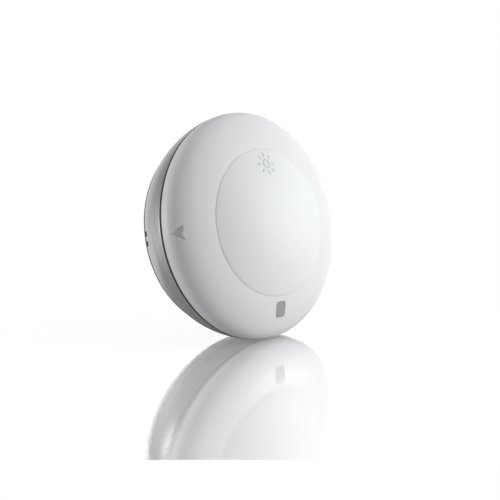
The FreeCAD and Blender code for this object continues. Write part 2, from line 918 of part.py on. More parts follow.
def battery_holder():
    """Moulded tray with a cradle for each cell and slotted end walls."""
    half = holder_half_length()
    middle = holder_centre()
    width = holder_width()
    cradle = block(2 * half, width, board_top, board_top + holder_cradle_height, 0, middle)
    ends = []
    for side in (-1, 1):
        x = side * (half - holder_wall / 2)
        ends.append(block(holder_wall, width, board_top, board_top + holder_end_height, x, middle))
    tray = cradle.fuse(ends)
    bore = cell_diameter / 2 + cell_clearance
    inner = 2 * (half - holder_wall)
    for y, _ in cell_rows():
        start = FreeCAD.Vector(-inner / 2, y, cell_axis())
        tray = tray.cut(Part.makeCylinder(bore, inner, start, FreeCAD.Vector(1, 0, 0)))
    depth = contact_steel + contact_gap
    pocket_x = (inner - depth) / 2
    pocket_width = contact_width + 4 * contact_gap
    floor = board_top + holder_floor
    for y, _ in cell_rows():
        for side in (-1, 1):
            tray = tray.cut(block(depth, pocket_width, floor, face_top, side * pocket_x, y))
            bottom = cell_axis() + holder_notch
            tray = tray.cut(block(3 * holder_wall, spring_width, bottom, face_top, side * half, y))
    tray = tray.cut(block(depth, cell_pitch, floor, face_top, pocket_x, middle))
    return one_solid(tray)


def cell_positive_end(side):
    """The x of a cell's positive tip, for the side that it points to."""
    inner = holder_half_length() - holder_wall
    return side * (inner - contact_steel - button_depth - contact_gap)


def cell(y, side):
    """One AAA cell with its positive nub on a given side."""
    radius = cell_diameter / 2
    body_length = cell_length - cell_nub_length
    tip = cell_positive_end(side)
    along = FreeCAD.Vector(side, 0, 0)
    shoulder = FreeCAD.Vector(tip - side * cell_nub_length, y, cell_axis())
    start = FreeCAD.Vector(tip - side * cell_length, y, cell_axis())
    body = Part.makeCylinder(radius, body_length, start, along)
    rims = [curve for curve in body.Edges if curve.BoundBox.XLength < 0.01]
    body = body.makeFillet(cell_rim_round, rims)
    nub = Part.makeCylinder(cell_nub_diameter / 2, cell_nub_length + sink, shoulder - along * sink, along)
    return one_solid(body.fuse(nub))


def contact_plate(y, side):
    """Flat steel plate against one end wall of the holder."""
    inner = holder_half_length() - holder_wall
    x = side * (inner - contact_steel / 2)
    bottom = board_top + holder_floor + contact_gap
    return block(contact_steel, contact_width, bottom, bottom + contact_height, x, y)


def spring_contact(y, side):
    """Contact plate with a bowed leaf that presses on a cell's flat end."""
    inner = holder_half_length() - holder_wall
    base = inner - contact_steel / 2
    axis = cell_axis()
    reach = inner - contact_steel - spring_depth
    end = reach + spring_return
    leaf = extrude_side([
        (base, axis - spring_foot),
        (reach, axis - spring_flat),
        (reach, axis + spring_flat),
        (end, axis + spring_tip),
        (end + contact_steel, axis + spring_tip),
        (reach + contact_steel, axis + spring_flat),
        (reach + contact_steel, axis - spring_flat),
        (base, axis - spring_foot + 2 * contact_steel),
    ], spring_width)
    if side < 0:
        leaf = leaf.mirror(FreeCAD.Vector(0, 0, 0), FreeCAD.Vector(1, 0, 0))
    leaf.translate(FreeCAD.Vector(0, y, 0))
    return contact_plate(y, side).fuse(leaf)


def button_contact(y, side):
    """Contact plate with a raised round pad for a cell's nub."""
    inner = holder_half_length() - holder_wall
    start = FreeCAD.Vector(side * (inner - contact_steel / 2), y, cell_axis())
    along = FreeCAD.Vector(-side, 0, 0)
    length = contact_steel / 2 + button_depth - contact_gap
    pad = Part.makeCylinder(cell_nub_diameter / 2, length, start, along)
    return contact_plate(y, side).fuse(pad)


def bridge_contact():
    """Contact that joins the two cells on one side."""
    (upper, _), (lower, _) = cell_rows()
    side = 1
    x = side * (holder_half_length() - holder_wall - contact_steel / 2)
    bottom = board_top + holder_floor + contact_gap
    strip = block(contact_steel, upper - lower, bottom, bottom + bridge_height, x, (upper + lower) / 2)
    return one_solid(button_contact(upper, side).fuse([spring_contact(lower, side), strip]))


def terminal_contacts():
    """Separate negative and positive contacts on the other side."""
    (upper, _), (lower, _) = cell_rows()
    return group([one_solid(spring_contact(upper, -1)), one_solid(button_contact(lower, -1))])


def photodiode():
    """Carrier of the light sensor on the board."""
    top = board_top + diode_height
    base = block(diode_length, diode_width, board_top, top)
    return base.makeFillet(diode_round, edges_at(base, top))


def photodiode_lens():
    """Clear round lens on the light sensor."""
    level = board_top + diode_height
    ball = Part.makeSphere(lens_radius, FreeCAD.Vector(0, 0, level))
    return one_solid(ball.common(cylinder(lens_radius * 2, level, level + lens_radius * 2)))


def window_inner_level(radius):
    """Height of the window's inner face at a radius."""
    edge = face_level(window_radius) + window_step
    return edge + window_rise * (1 - (radius / window_radius) ** 2) - window_wall


def light_well():
    """White funnel from the window down to the light sensor."""
    collar = board_top + well_collar_height
    mouth = window_inner_level(well_mouth_radius + well_wall) - well_mouth_gap
    outer_collar = well_bore_radius + well_wall
    outer_mouth = well_mouth_radius + well_wall
    return turn_profile([
        line((well_bore_radius, board_top), (outer_collar, board_top)),
        line((outer_collar, board_top), (outer_collar, collar)),
        line((outer_collar, collar), (outer_mouth, mouth)),
        line((outer_mouth, mouth), (well_mouth_radius, mouth)),
        line((well_mouth_radius, mouth), (well_bore_radius, collar)),
        line((well_bore_radius, collar), (well_bore_radius, board_top)),
    ])


def band_y(width):
    """The y of a part of a given width that stands beside the holder."""
    return holder_top() + part_gap + width / 2


def chip_place():
    """Centre of the microcontroller."""
    return board_radius - chip_inset, band_y(chip_size + 2 * pin_overhang)


def crystal_place():
    """Centre of the crystal."""
    return board_radius - chip_inset - crystal_shift, band_y(crystal_width)


def radio_place():
    """Centre of the radio's board."""
    return radio_inset - board_radius, band_y(radio_width)


def control_place(side):
    """Centre of the dial, on side 1, or of the button, on side -1."""
    angle = 90 - side * (90 - control_angle)
    return polar(control_radius, angle)


def control_bezel():
    """Curved cover plate round the button and the dial, on two screw wells."""
    start = bezel_start
    end = 180 - bezel_start
    plate = arc_ring(bezel_inner_radius, bezel_outer_radius, bezel_level, bezel_top, start, end)
    rim_top = bezel_top + bezel_rim_height
    rim_inside = bezel_outer_radius - bezel_rim_width
    rim_outside = bezel_inner_radius + bezel_rim_width
    rims = [
        arc_ring(rim_inside, bezel_outer_radius, bezel_level, rim_top, start, end),
        arc_ring(bezel_inner_radius, rim_outside, bezel_level, rim_top, start, end),
    ]
    wells = [cylinder(bezel_well_outer, board_top, bezel_top, x, y) for x, y in bezel_well_places()]
    bezel = plate.fuse(rims + wells).removeSplitter()
    shank = screw_shank_radius + board_hole_clearance
    for x, y in bezel_well_places():
        bezel = bezel.cut(cylinder(shank, board_top - 1, bezel_top + 2, x, y))
        head = screw_head_radius + board_hole_clearance / 2
        bezel = bezel.cut(cylinder(head, board_top + bezel_foot_height, bezel_top + 2, x, y))
    x, y = control_place(-1)
    bezel = bezel.cut(cylinder(button_radius + button_clearance, bezel_level - 1, bezel_top + 2, x, y))
    x, y = control_place(1)
    bezel = bezel.cut(cylinder(hub_radius + hub_clearance, bezel_level - 1, bezel_top + 2, x, y))
    return one_solid(bezel)


def bezel_screws():
    """Two screws at the bottom of the bezel's wells."""
    seat = board_top + bezel_foot_height
    return group([screw(x, y, seat, bezel_screw_length) for x, y in bezel_well_places()])


def button_switch():
    """Push switch body with four short legs and a bore for its plunger."""
    x, y = control_place(-1)
    top = board_top + switch_height
    body = block(switch_size, switch_size, board_top, top, x, y)
    body = body.makeChamfer(switch_chamfer, edges_at(body, top))
    legs = []
    for side_x in (-1, 1):
        for side_y in (-1, 1):
            leg_x = x + side_x * switch_size / 2
            leg_y = y + side_y * switch_leg_pitch / 2
            legs.append(block(2 * leg_reach, leg_width, board_top, board_top + leg_width, leg_x, leg_y))
    body = body.fuse(legs)
    low = top + plunger_height - plunger_length - 2 * button_travel
    bore = cylinder(plunger_radius + plunger_clearance, low, top + 1, x, y)
    return one_solid(body.cut(bore))


def switch_plunger():
    """Round plunger of the push switch."""
    x, y = control_place(-1)
    top = board_top + switch_height + plunger_height
    return cylinder(plunger_radius, top - plunger_length, top, x, y)


def program_button():
    """Button cap with a flange under the bezel, a stem over the plunger and a dished top."""
    x, y = control_place(-1)
    top = bezel_top + button_above_bezel
    flange_top = bezel_level - button_lift
    flange_bottom = flange_top - button_flange_thickness
    cap = cylinder(button_radius, flange_bottom, top, x, y)
    cap = cap.makeFillet(button_round, edges_at(cap, top))
    flange = cylinder(button_radius + button_flange, flange_bottom, flange_top, x, y)
    stem_bottom = board_top + switch_height + plunger_height + contact_gap
    stem = cylinder(plunger_radius, stem_bottom, flange_bottom + sink, x, y)
    ball = ((button_radius - 2 * button_round) ** 2 + button_dish ** 2) / (2 * button_dish)
    dish = Part.makeSphere(ball, FreeCAD.Vector(x, y, top - button_dish + ball))
    return one_solid(cap.fuse([flange, stem]).cut(dish))


def potentiometer():
    """Potentiometer body with its three legs and a bore for its spindle."""
    x, y = control_place(1)
    body = block(pot_size, pot_size, board_top, board_top + pot_height, x, y)
    collar = cylinder(hub_radius, board_top, board_top + pot_height + pot_collar, x, y)
    legs = []
    for step in (-1, 0, 1):
        leg_x = x + step * pot_leg_pitch
        leg_y = y - pot_size / 2
        legs.append(block(leg_width, 2 * leg_reach, board_top, board_top + leg_width, leg_x, leg_y))
    body = body.fuse([collar] + legs)
    bore = cylinder(spindle_radius + spindle_clearance, spindle_foot(), face_top, x, y)
    return one_solid(body.cut(bore))


def spindle_foot():
    """Height of the bottom of the spindle's bore."""
    return board_top + spindle_foot_height


def dial_bottom():
    """Height of the dial's underside."""
    return bezel_top + bezel_rim_height + dial_lift


def spindle_top():
    """Height of the spindle's end inside the dial."""
    return dial_bottom() + dial_height - dial_slot_depth - dial_roof


def potentiometer_spindle():
    """Spindle that the dial is pressed on."""
    x, y = control_place(1)
    return cylinder(spindle_radius, spindle_foot() + spindle_clearance, spindle_top(), x, y)


def threshold_dial():
    """Dial with a gripped edge, a screwdriver slot and a hub on the spindle."""
    x, y = control_place(1)
    bottom = dial_bottom()
    top = bottom + dial_height
    dial = cylinder(dial_radius, bottom, top, x, y)
    dial = dial.makeFillet(dial_round, edges_at(dial, top))
    hub_bottom = board_top + pot_height + pot_collar + dial_lift
    dial = dial.fuse(cylinder(hub_radius, hub_bottom, bottom + sink, x, y))
    for step in range(grip_count):
        grip_x, grip_y = polar(dial_radius + grip_shift, 360 * step / grip_count)
        dial = dial.cut(cylinder(grip_radius, bottom - 1, top + 1, x + grip_x, y + grip_y))
    bore_top = spindle_top() + spindle_clearance
    dial = dial.cut(cylinder(spindle_radius + dial_fit, hub_bottom - 1, bore_top, x, y))
    slot_cut = block(dial_slot_width, dial_slot_length, top - dial_slot_depth, top + 1, x, y)
    return one_solid(dial.cut(slot_cut))


def microcontroller():
    """Square chip with its legs on four sides."""
    x, y = chip_place()
    bottom = board_top + chip_stand_off
    body = block(chip_size, chip_size, bottom, bottom + chip_height, x, y)
    body = body.makeChamfer(chip_chamfer, body.Edges)
    legs = []
    pin_top = board_top + pin_width
    for step in range(pins_a_side):
        along = (step - (pins_a_side - 1) / 2) * pin_pitch
        out = (chip_size - pin_reach) / 2 + pin_overhang
        for side in (-1, 1):
            legs.append(block(pin_reach, pin_width, board_top, pin_top, x + side * out, y + along))
            legs.append(block(pin_width, pin_reach, board_top, pin_top, x + along, y + side * out))
    return one_solid(body.fuse(legs))


def crystal():
    """Flat-sided metal can of the crystal on its flange."""
    x, y = crystal_place()
    top = board_top + crystal_height
    flange = slot(crystal_length, crystal_width, board_top, board_top + crystal_flange, x, y)
    length = crystal_length - 2 * crystal_flange
    can = slot(length, crystal_width - 2 * crystal_flange, board_top, top, x, y)
    return one_solid(flange.fuse(can.makeFillet(crystal_flange, edges_at(can, top))))


def radio_module():
    """Small board that carries the radio."""
    x, y = radio_place()
    return block(radio_length, radio_width, board_top, board_top + radio_board_thickness, x, y)


def radio_shield():
    """Folded metal can over the radio."""
    x, y = radio_place()
    bottom = board_top + radio_board_thickness
    length = radio_length - 2 * shield_margin
    width = radio_width - 2 * shield_margin
    return rounded_plate(length, width, shield_corner, bottom, bottom + shield_height, x, y)


def buffer_capacitor():
    """Upright capacitor can with its square foot and the groove near its foot."""
    x, y = polar(board_radius - capacitor_inset, capacitor_angle)
    top = board_top + capacitor_height
    side = 2 * capacitor_radius + capacitor_groove
    foot = block(side, side, board_top, board_top + capacitor_foot, x, y)
    can = cylinder(capacitor_radius, board_top, top, x, y)
    can = can.makeFillet(2 * capacitor_groove, edges_at(can, top))
    level = board_top + 2 * capacitor_foot
    neck = capacitor_radius - capacitor_groove
    groove = ring(neck, 2 * capacitor_radius, level, level + 2 * capacitor_groove, x, y)
    return one_solid(can.cut(groove).fuse(foot))


def antenna():
    """Bent wire: two upright legs and an arc along the board's edge."""
    wire = antenna_wire / 2
    level = board_top + antenna_height
    centre = FreeCAD.Vector(antenna_radius, 0, level)
    section = Part.Face(Part.Wire(Part.makeCircle(wire, centre, FreeCAD.Vector(0, 1, 0))))
    sweep = antenna_end - antenna_start
    arc = section.revolve(FreeCAD.Vector(0, 0, 0), FreeCAD.Vector(0, 0, 1), sweep)
    arc = turned_about_axis(arc, antenna_start)
    ends = []
    for angle in (antenna_start, antenna_end):
        x, y = polar(antenna_radius, angle)
        ends.append(cylinder(wire, board_top, level, x, y))
        ends.append(Part.makeSphere(wire, FreeCAD.Vector(x, y, level)))
    return one_solid(arc.fuse(ends))


def chip_parts():
    """Small resistors and capacitors in short rows beside the chips."""
    length, width, height = small_part
    top = board_top + height
    above = small_part_gap + length / 2
    chip_x, chip_y = chip_place()
    crystal_x, crystal_y = crystal_place()
    radio_x, radio_y = radio_place()
    radio_side = radio_x + radio_length / 2 + small_part_gap + width / 2
    chip_row = (chip_x, chip_y + chip_size / 2 + pin_overhang + above, chip_row_count)
    crystal_row = (crystal_x, crystal_y + crystal_width / 2 + above, crystal_row_count)
    upper_row = (radio_side + small_part_pitch, radio_y + above, radio_row_count)
    lower_row = (radio_side + small_part_pitch, radio_y - above, radio_row_count)
    parts = []
    for centre_x, y, count in (chip_row, crystal_row, upper_row, lower_row):
        for step in range(count):
            x = centre_x + (step - (count - 1) / 2) * small_part_pitch
            parts.append(block(width, length, board_top, top, x, y))
    return group(parts)


def status_led():
    """Small light under the light pipe."""
    return block(led_size[0], led_size[1], board_top, board_top + led_height, 0, status_y)


def status_light_pipe():
    """Clear rod from the small light up to the status window."""
    foot_top = board_top + pipe_foot_height
    foot = cylinder(pipe_foot_radius, board_top, foot_top, 0, status_y)
    far_corner = status_drop + status_length / 2 - pipe_head_margin
    head_top = face_level(far_corner, status_thickness) - pipe_window_gap
    rod = cylinder(pipe_radius, foot_top - sink, head_top, 0, status_y)
    head_width = status_width - 2 * pipe_head_margin
    head_length = status_length - 2 * pipe_head_margin
    corner = status_corner - pipe_head_margin / 2
    head_bottom = head_top - pipe_head_length
    head = rounded_plate(head_width, head_length, corner, head_bottom, head_top, 0, status_y)
    length = led_size[0] + 2 * led_clearance
    width = led_size[1] + 2 * led_clearance
    hollow = block(length, width, board_top - 1, board_top + led_height + led_clearance, 0, status_y)
    return one_solid(foot.fuse([rod, head]).cut(hollow))


def build():
    """Makes every piece and writes it under its name."""
    (upper_y, upper_side), (lower_y, lower_side) = cell_rows()
    pieces = {
        "wall_plate": wall_plate(),
        "release_tongue": release_tongue(),
        "rear_housing": rear_housing(),
        "cover_seal": cover_seal(),
        "clip_springs": clip_springs(),
        "main_board": main_board(),
        "board_screws": board_screws(),
        "battery_holder": battery_holder(),
        "battery_upper": cell(upper_y, upper_side),
        "battery_lower": cell(lower_y, lower_side),
        "bridge_contact": bridge_contact(),
        "terminal_contacts": terminal_contacts(),
        "photodiode": photodiode(),
        "photodiode_lens": photodiode_lens(),
        "light_well": light_well(),
        "control_bezel": control_bezel(),
        "bezel_screws": bezel_screws(),
        "button_switch": button_switch(),
        "switch_plunger": switch_plunger(),
        "program_button": program_button(),
        "potentiometer": potentiometer(),
        "potentiometer_spindle": potentiometer_spindle(),
        "threshold_dial": threshold_dial(),
        "microcontroller": microcontroller(),
        "crystal": crystal(),
        "radio_module": radio_module(),
        "radio_shield": radio_shield(),
        "buffer_capacitor": buffer_capacitor(),
        "antenna": antenna(),
        "chip_parts": chip_parts(),
        "status_led": status_led(),
        "status_light_pipe": status_light_pipe(),
        "front_cover": front_cover(),
        "sun_window": sun_window(),
        "status_window": status_window(),
    }
    os.makedirs("parts", exist_ok=True)
    for node, shape in pieces.items():
        stand_up(shape, node)
        print(node, len(shape.Solids), "solids", round(shape.Volume, 1), "mm3", shape.isValid())


build()
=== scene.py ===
import math
import bpy
import numpy as np
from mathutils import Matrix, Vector


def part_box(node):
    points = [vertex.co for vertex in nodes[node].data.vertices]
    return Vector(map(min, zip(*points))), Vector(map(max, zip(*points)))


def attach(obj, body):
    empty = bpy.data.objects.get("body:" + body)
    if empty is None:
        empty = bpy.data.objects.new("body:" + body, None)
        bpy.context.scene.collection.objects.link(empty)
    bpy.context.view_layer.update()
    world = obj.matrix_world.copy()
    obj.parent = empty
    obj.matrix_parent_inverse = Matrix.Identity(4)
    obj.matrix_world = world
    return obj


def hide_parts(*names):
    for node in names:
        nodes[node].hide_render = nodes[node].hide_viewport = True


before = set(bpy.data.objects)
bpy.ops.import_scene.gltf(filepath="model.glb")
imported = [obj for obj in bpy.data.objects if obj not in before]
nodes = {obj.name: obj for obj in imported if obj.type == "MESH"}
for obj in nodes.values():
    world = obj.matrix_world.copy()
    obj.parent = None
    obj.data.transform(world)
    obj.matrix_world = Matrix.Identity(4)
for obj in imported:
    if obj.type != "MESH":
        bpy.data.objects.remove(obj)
bpy.context.view_layer.update()

# Wall plate: a round plate moulded in grey ABS, held on the wall by two screws in its slots.
# The housing hangs on its three hooks, so of the plate only the thin edge shows behind it.
# The mould is spark eroded, which leaves the plastic matt and very finely pitted.
FLOW_WIDTH = 22
MATT_CHANGE = 0.04
NOISE_LOW = 0.3
NOISE_HIGH = 0.7


def linear(hex_colour):
    """An sRGB hex colour as linear red, green, blue and alpha.

    A channel up to 0.04045 is divided by 12.92. Above that, 0.055 is added, the sum is divided
    by 1.055 and raised to the power 2.4.
    """
    channels = np.array([int(hex_colour[start:start + 2], 16) for start in (1, 3, 5)]) / 255
    low = channels / 12.92
    high = ((channels + 0.055) / 1.055) ** 2.4
    return (*np.where(channels <= 0.04045, low, high), 1.0)


def add_node(material, kind, inputs=None, **settings):
    """Adds a node with its settings. A socket among its inputs is linked, a value is set."""
    node = material.node_tree.nodes.new(kind)
    for name, value in settings.items():
        setattr(node, name, value)
    for name, value in (inputs or {}).items():
        if isinstance(value, bpy.types.NodeSocket):
            material.node_tree.links.new(value, node.inputs[name])
        else:
            node.inputs[name].default_value = value
    return node


def new_material(name):
    """An empty material and its place in the object's own coordinates."""
    material = bpy.data.materials.new(name)
    material.use_nodes = True
    material.node_tree.nodes.clear()
    return material, add_node(material, "ShaderNodeTexCoord").outputs["Object"]


def close_material(material, shader):
    """Joins a shader to the material's surface."""
    add_node(material, "ShaderNodeOutputMaterial", {"Surface": shader.outputs[0]})
    return material


def moulded_plastic(name, colour, second_colour, roughness, grain, relief, **sockets):
    """A moulded plastic.

    The second colour comes in slow clouds as wide as the melt's flow. The bump and a small
    change of roughness follow a noise as wide as the mould's grain. Most of a noise lies between
    the low and high values given above. Grain and relief are in millimetres.
    """
    material, place = new_material(name)
    flow = add_node(material, "ShaderNodeTexNoise", {
        "Vector": place, "Scale": 1000 / FLOW_WIDTH, "Detail": 1.0})
    pits = add_node(material, "ShaderNodeTexNoise", {
        "Vector": place, "Scale": 1000 / grain, "Detail": 2.0})
    tint = add_node(material, "ShaderNodeMix", {
        "Factor": flow.outputs["Fac"],
        "A": linear(colour),
        "B": linear(second_colour),
    }, data_type="RGBA")
    matt = add_node(material, "ShaderNodeMapRange", {
        "Value": pits.outputs["Fac"],
        "From Min": NOISE_LOW,
        "From Max": NOISE_HIGH,
        "To Min": roughness - MATT_CHANGE,
        "To Max": roughness + MATT_CHANGE,
    })
    bump = add_node(material, "ShaderNodeBump", {
        "Height": pits.outputs["Fac"], "Distance": relief / 1000})
    shader = add_node(material, "ShaderNodeBsdfPrincipled", {
        "Base Color": tint.outputs["Result"],
        "Roughness": matt.outputs["Result"],
        "Normal": bump.outputs["Normal"],
        **sockets,
    })
    return close_material(material, shader)


def give(material, *names):
    """Puts a material on CAD nodes that keep their own shape."""
    for name in names:
        for slot in nodes[name].material_slots:
            slot.material = material


# Moulded ABS with a spark eroded face: even grey, no gloss, edges that catch a little light
plate_abs = moulded_plastic(
    "plate_ABS_spark_eroded", "#676A69", "#626563", roughness=0.52, grain=0.45, relief=0.010)
give(plate_abs, "wall_plate")

# Rear housing: a deep shell moulded in ABS and painted a silver grey with a satin varnish.
# Its wall draws in towards the wall plate, its floor carries the board, and its lugs hook
# behind the plate. A tongue between two slits in its edge locks the turn.
STREAK_WIDTH = 1.1
STREAK_LENGTH = 25.0
STREAK_MATT = 0.05
PEEL_WIDTH = 1.1
PEEL_RELIEF = 0.008


def satin_paint(name, colour, streak_colour, roughness):
    """Silver grey paint over fine brushing that runs round the body.

    The brushing is a noise that is as narrow along Y as a streak is wide, and as long across it
    as a streak is. It moves the colour between two greys and the roughness by a tenth. The
    varnish over it has a faint orange peel. Sizes are in millimetres. Real streaks are finer and
    are drawn wide enough to show.
    """
    material, place = new_material(name)
    stretch = add_node(material, "ShaderNodeVectorMath", {
        0: place,
        1: (1000 / STREAK_LENGTH, 1000 / STREAK_WIDTH, 1000 / STREAK_LENGTH),
    }, operation="MULTIPLY")
    streaks = add_node(material, "ShaderNodeTexNoise", {
        "Vector": stretch.outputs[0], "Scale": 1.0, "Detail": 3.0})
    share = add_node(material, "ShaderNodeMapRange", {
        "Value": streaks.outputs["Fac"], "From Min": NOISE_LOW, "From Max": NOISE_HIGH})
    matt = add_node(material, "ShaderNodeMapRange", {
        "Value": streaks.outputs["Fac"],
        "To Min": roughness - STREAK_MATT,
        "To Max": roughness + STREAK_MATT,
    })
    tint = add_node(material, "ShaderNodeMix", {
        "Factor": share.outputs["Result"],
        "A": linear(colour),
        "B": linear(streak_colour),
    }, data_type="RGBA")
    peel = add_node(material, "ShaderNodeTexNoise", {
        "Vector": place, "Scale": 1000 / PEEL_WIDTH, "Detail": 1.0})
    bump = add_node(material, "ShaderNodeBump", {
        "Height": peel.outputs["Fac"], "Distance": PEEL_RELIEF / 1000})
    shader = add_node(material, "ShaderNodeBsdfPrincipled", {
        "Base Color": tint.outputs["Result"],
        "Metallic": 0.6,
        "Roughness": matt.outputs["Result"],
        "Normal": bump.outputs["Normal"],
        "Coat Weight": 0.2,
        "Coat Roughness": 0.3,
    })
    return close_material(material, shader)


# Silver grey paint under a satin varnish: bright where it mirrors the room behind the sensor,
# dark where it mirrors the ceiling, and faintly streaked round the body
housing_paint = satin_paint("housing_silver_paint_satin", "#A6A8A5", "#CFD1CE", roughness=0.38)
give(housing_paint, "rear_housing", "release_tongue")

# Main board: a round FR4 laminate with green solder mask over its copper lines, and gold plated
# holes that join its two sides. Three pan-head screws of zinc plated steel hold it on the
# housing's bosses.
LINE_PITCH = 2.4
LINE_WIDTH = 0.28
LINE_RELIEF = 0.03
HOLE_PITCH = 5.5
HOLE_RADIUS = 0.42
POLISH_CHANGE = 0.3
METAL_RELIEF = 0.004


def laminate(name, mask_colour, line_colour):
    """Solder mask over copper lines and plated holes.

    The lines are the joints of a brick pattern laid on the board's face, and the holes are the
    middles of scattered cells.
    """
    material, place = new_material(name)
    axes = add_node(material, "ShaderNodeSeparateXYZ", {"Vector": place})
    flat = add_node(material, "ShaderNodeCombineXYZ", {
        "X": axes.outputs["X"], "Y": axes.outputs["Z"]})
    lines = add_node(material, "ShaderNodeTexBrick", {
        "Vector": flat.outputs[0],
        "Color1": linear(mask_colour),
        "Color2": linear(mask_colour),
        "Mortar": linear(line_colour),
        "Scale": 1000 / LINE_PITCH,
        "Mortar Size": LINE_WIDTH / LINE_PITCH / 2,
        "Brick Width": 2.6,
        "Row Height": 1.0,
    })
    cells = add_node(material, "ShaderNodeTexVoronoi", {
        "Vector": flat.outputs[0], "Scale": 1000 / HOLE_PITCH})
    hole = add_node(material, "ShaderNodeMath", {
        0: cells.outputs["Distance"],
        1: HOLE_RADIUS / HOLE_PITCH,
    }, operation="LESS_THAN")
    tint = add_node(material, "ShaderNodeMix", {
        "Factor": hole.outputs[0],
        "A": lines.outputs["Color"],
        "B": linear("#C9A65A"),
    }, data_type="RGBA")
    bump = add_node(material, "ShaderNodeBump", {
        "Height": lines.outputs["Fac"], "Distance": LINE_RELIEF / 1000})
    shader = add_node(material, "ShaderNodeBsdfPrincipled", {
        "Base Color": tint.outputs["Result"],
        "Metallic": hole.outputs[0],
        "Roughness": 0.32,
        "Normal": bump.outputs["Normal"],
    })
    return close_material(material, shader)


def bright_metal(name, colour, roughness, grain):
    """A bare or plated metal.

    A noise as wide as the grain, in millimetres, changes the roughness by three tenths either
    way and lifts a slight bump.
    """
    material, place = new_material(name)
    wear = add_node(material, "ShaderNodeTexNoise", {
        "Vector": place, "Scale": 1000 / grain, "Detail": 3.0})
    polish = add_node(material, "ShaderNodeMapRange", {
        "Value": wear.outputs["Fac"],
        "From Min": NOISE_LOW,
        "From Max": NOISE_HIGH,
        "To Min": roughness * (1 - POLISH_CHANGE),
        "To Max": roughness * (1 + POLISH_CHANGE),
    })
    bump = add_node(material, "ShaderNodeBump", {
        "Height": wear.outputs["Fac"], "Distance": METAL_RELIEF / 1000})
    shader = add_node(material, "ShaderNodeBsdfPrincipled", {
        "Base Color": linear(colour),
        "Metallic": 1.0,
        "Roughness": polish.outputs["Result"],
        "Normal": bump.outputs["Normal"],
    })
    return close_material(material, shader)


# Glass fibre laminate with green mask: glossy, with the copper lines a shade lighter
board_laminate = laminate("board_FR4_green_mask", "#1F5A3A", "#2C7449")
give(board_laminate, "main_board", "radio_module")
# Zinc plated steel: bright, slightly bluish, a little uneven
screw_steel = bright_metal("screw_steel_zinc_plated", "#C6C9CC", roughness=0.3, grain=0.8)
give(screw_steel, "board_screws", "bezel_screws")

# Light sensor: a photodiode in a small black resin package with a clear epoxy lens, soldered in
# the middle of the board. A white funnel stands round it and leads the light down to it from
# the window.
PHOTODIODE = (0, 0)
TINNED = "#C7C8C6"
TINNED_MATT = 0.32
RESIN_GRAIN = 0.3
GRAIN_RELIEF = 0.01
RIPPLE_WIDTH = 1.5
RIPPLE_RELIEF = 0.004


def beyond(material, place, centre, half_x, half_z):
    """One where a point is further from a centre than a half width along X or along Z.

    The distance along each is divided by its half width, and the larger is compared with one.
    Sizes are in millimetres.
    """
    away = add_node(material, "ShaderNodeVectorMath", {
        0: place,
        1: (centre[0] / 1000, 0.0, centre[1] / 1000),
    }, operation="SUBTRACT")
    share = add_node(material, "ShaderNodeVectorMath", {
        0: away.outputs[0],
        1: (1000 / half_x, 0.0, 1000 / half_z),
    }, operation="MULTIPLY")
    size = add_node(material, "ShaderNodeVectorMath", {0: share.outputs[0]}, operation="ABSOLUTE")
    axes = add_node(material, "ShaderNodeSeparateXYZ", {"Vector": size.outputs[0]})
    larger = add_node(material, "ShaderNodeMath", {
        0: axes.outputs["X"], 1: axes.outputs["Z"]}, operation="MAXIMUM")
    outside = add_node(material, "ShaderNodeMath", {
        0: larger.outputs[0], 1: 1.0}, operation="GREATER_THAN")
    return outside.outputs[0]


def part_with_legs(name, centre, half_x, half_z, body_colour, body_roughness):
    """A component with a body of resin or plastic, and tinned legs outside the body's plan."""
    material, place = new_material(name)
    legs = beyond(material, place, centre, half_x, half_z)
    grain = add_node(material, "ShaderNodeTexNoise", {
        "Vector": place, "Scale": 1000 / RESIN_GRAIN, "Detail": 2.0})
    tint = add_node(material, "ShaderNodeMix", {
        "Factor": legs,
        "A": linear(body_colour),
        "B": linear(TINNED),
    }, data_type="RGBA")
    matt = add_node(material, "ShaderNodeMapRange", {
        "Value": legs, "To Min": body_roughness, "To Max": TINNED_MATT})
    bump = add_node(material, "ShaderNodeBump", {
        "Height": grain.outputs["Fac"], "Distance": GRAIN_RELIEF / 1000})
    shader = add_node(material, "ShaderNodeBsdfPrincipled", {
        "Base Color": tint.outputs["Result"],
        "Metallic": legs,
        "Roughness": matt.outputs["Result"],
        "Normal": bump.outputs["Normal"],
    })
    return close_material(material, shader)


def clear_moulding(name, colour, roughness, index):
    """A clear resin or acrylic: light goes through it, and a wide noise ripples its face."""
    material, place = new_material(name)
    ripple = add_node(material, "ShaderNodeTexNoise", {
        "Vector": place, "Scale": 1000 / RIPPLE_WIDTH})
    bump = add_node(material, "ShaderNodeBump", {
        "Height": ripple.outputs["Fac"], "Distance": RIPPLE_RELIEF / 1000})
    shader = add_node(material, "ShaderNodeBsdfPrincipled", {
        "Base Color": linear(colour),
        "Roughness": roughness,
        "IOR": index,
        "Transmission Weight": 0.95,
        "Normal": bump.outputs["Normal"],
    })
    return close_material(material, shader)


# Black epoxy package with tinned ends
photodiode_epoxy = part_with_legs(
    "photodiode_epoxy_black", PHOTODIODE, half_x=2.3, half_z=2.5,
    body_colour="#26272A", body_roughness=0.5)
give(photodiode_epoxy, "photodiode")
# Clear epoxy: a glossy drop
lens_epoxy = clear_moulding("lens_epoxy_clear", "#F4F7F8", roughness=0.04, index=1.54)
give(lens_epoxy, "photodiode_lens")
# White ABS with a polished mould, so that the funnel throws the light on
well_abs = moulded_plastic(
    "well_ABS_white_gloss", "#F0F1EF", "#ECEDEA", roughness=0.22, grain=0.9, relief=0.003)
give(well_abs, "light_well")

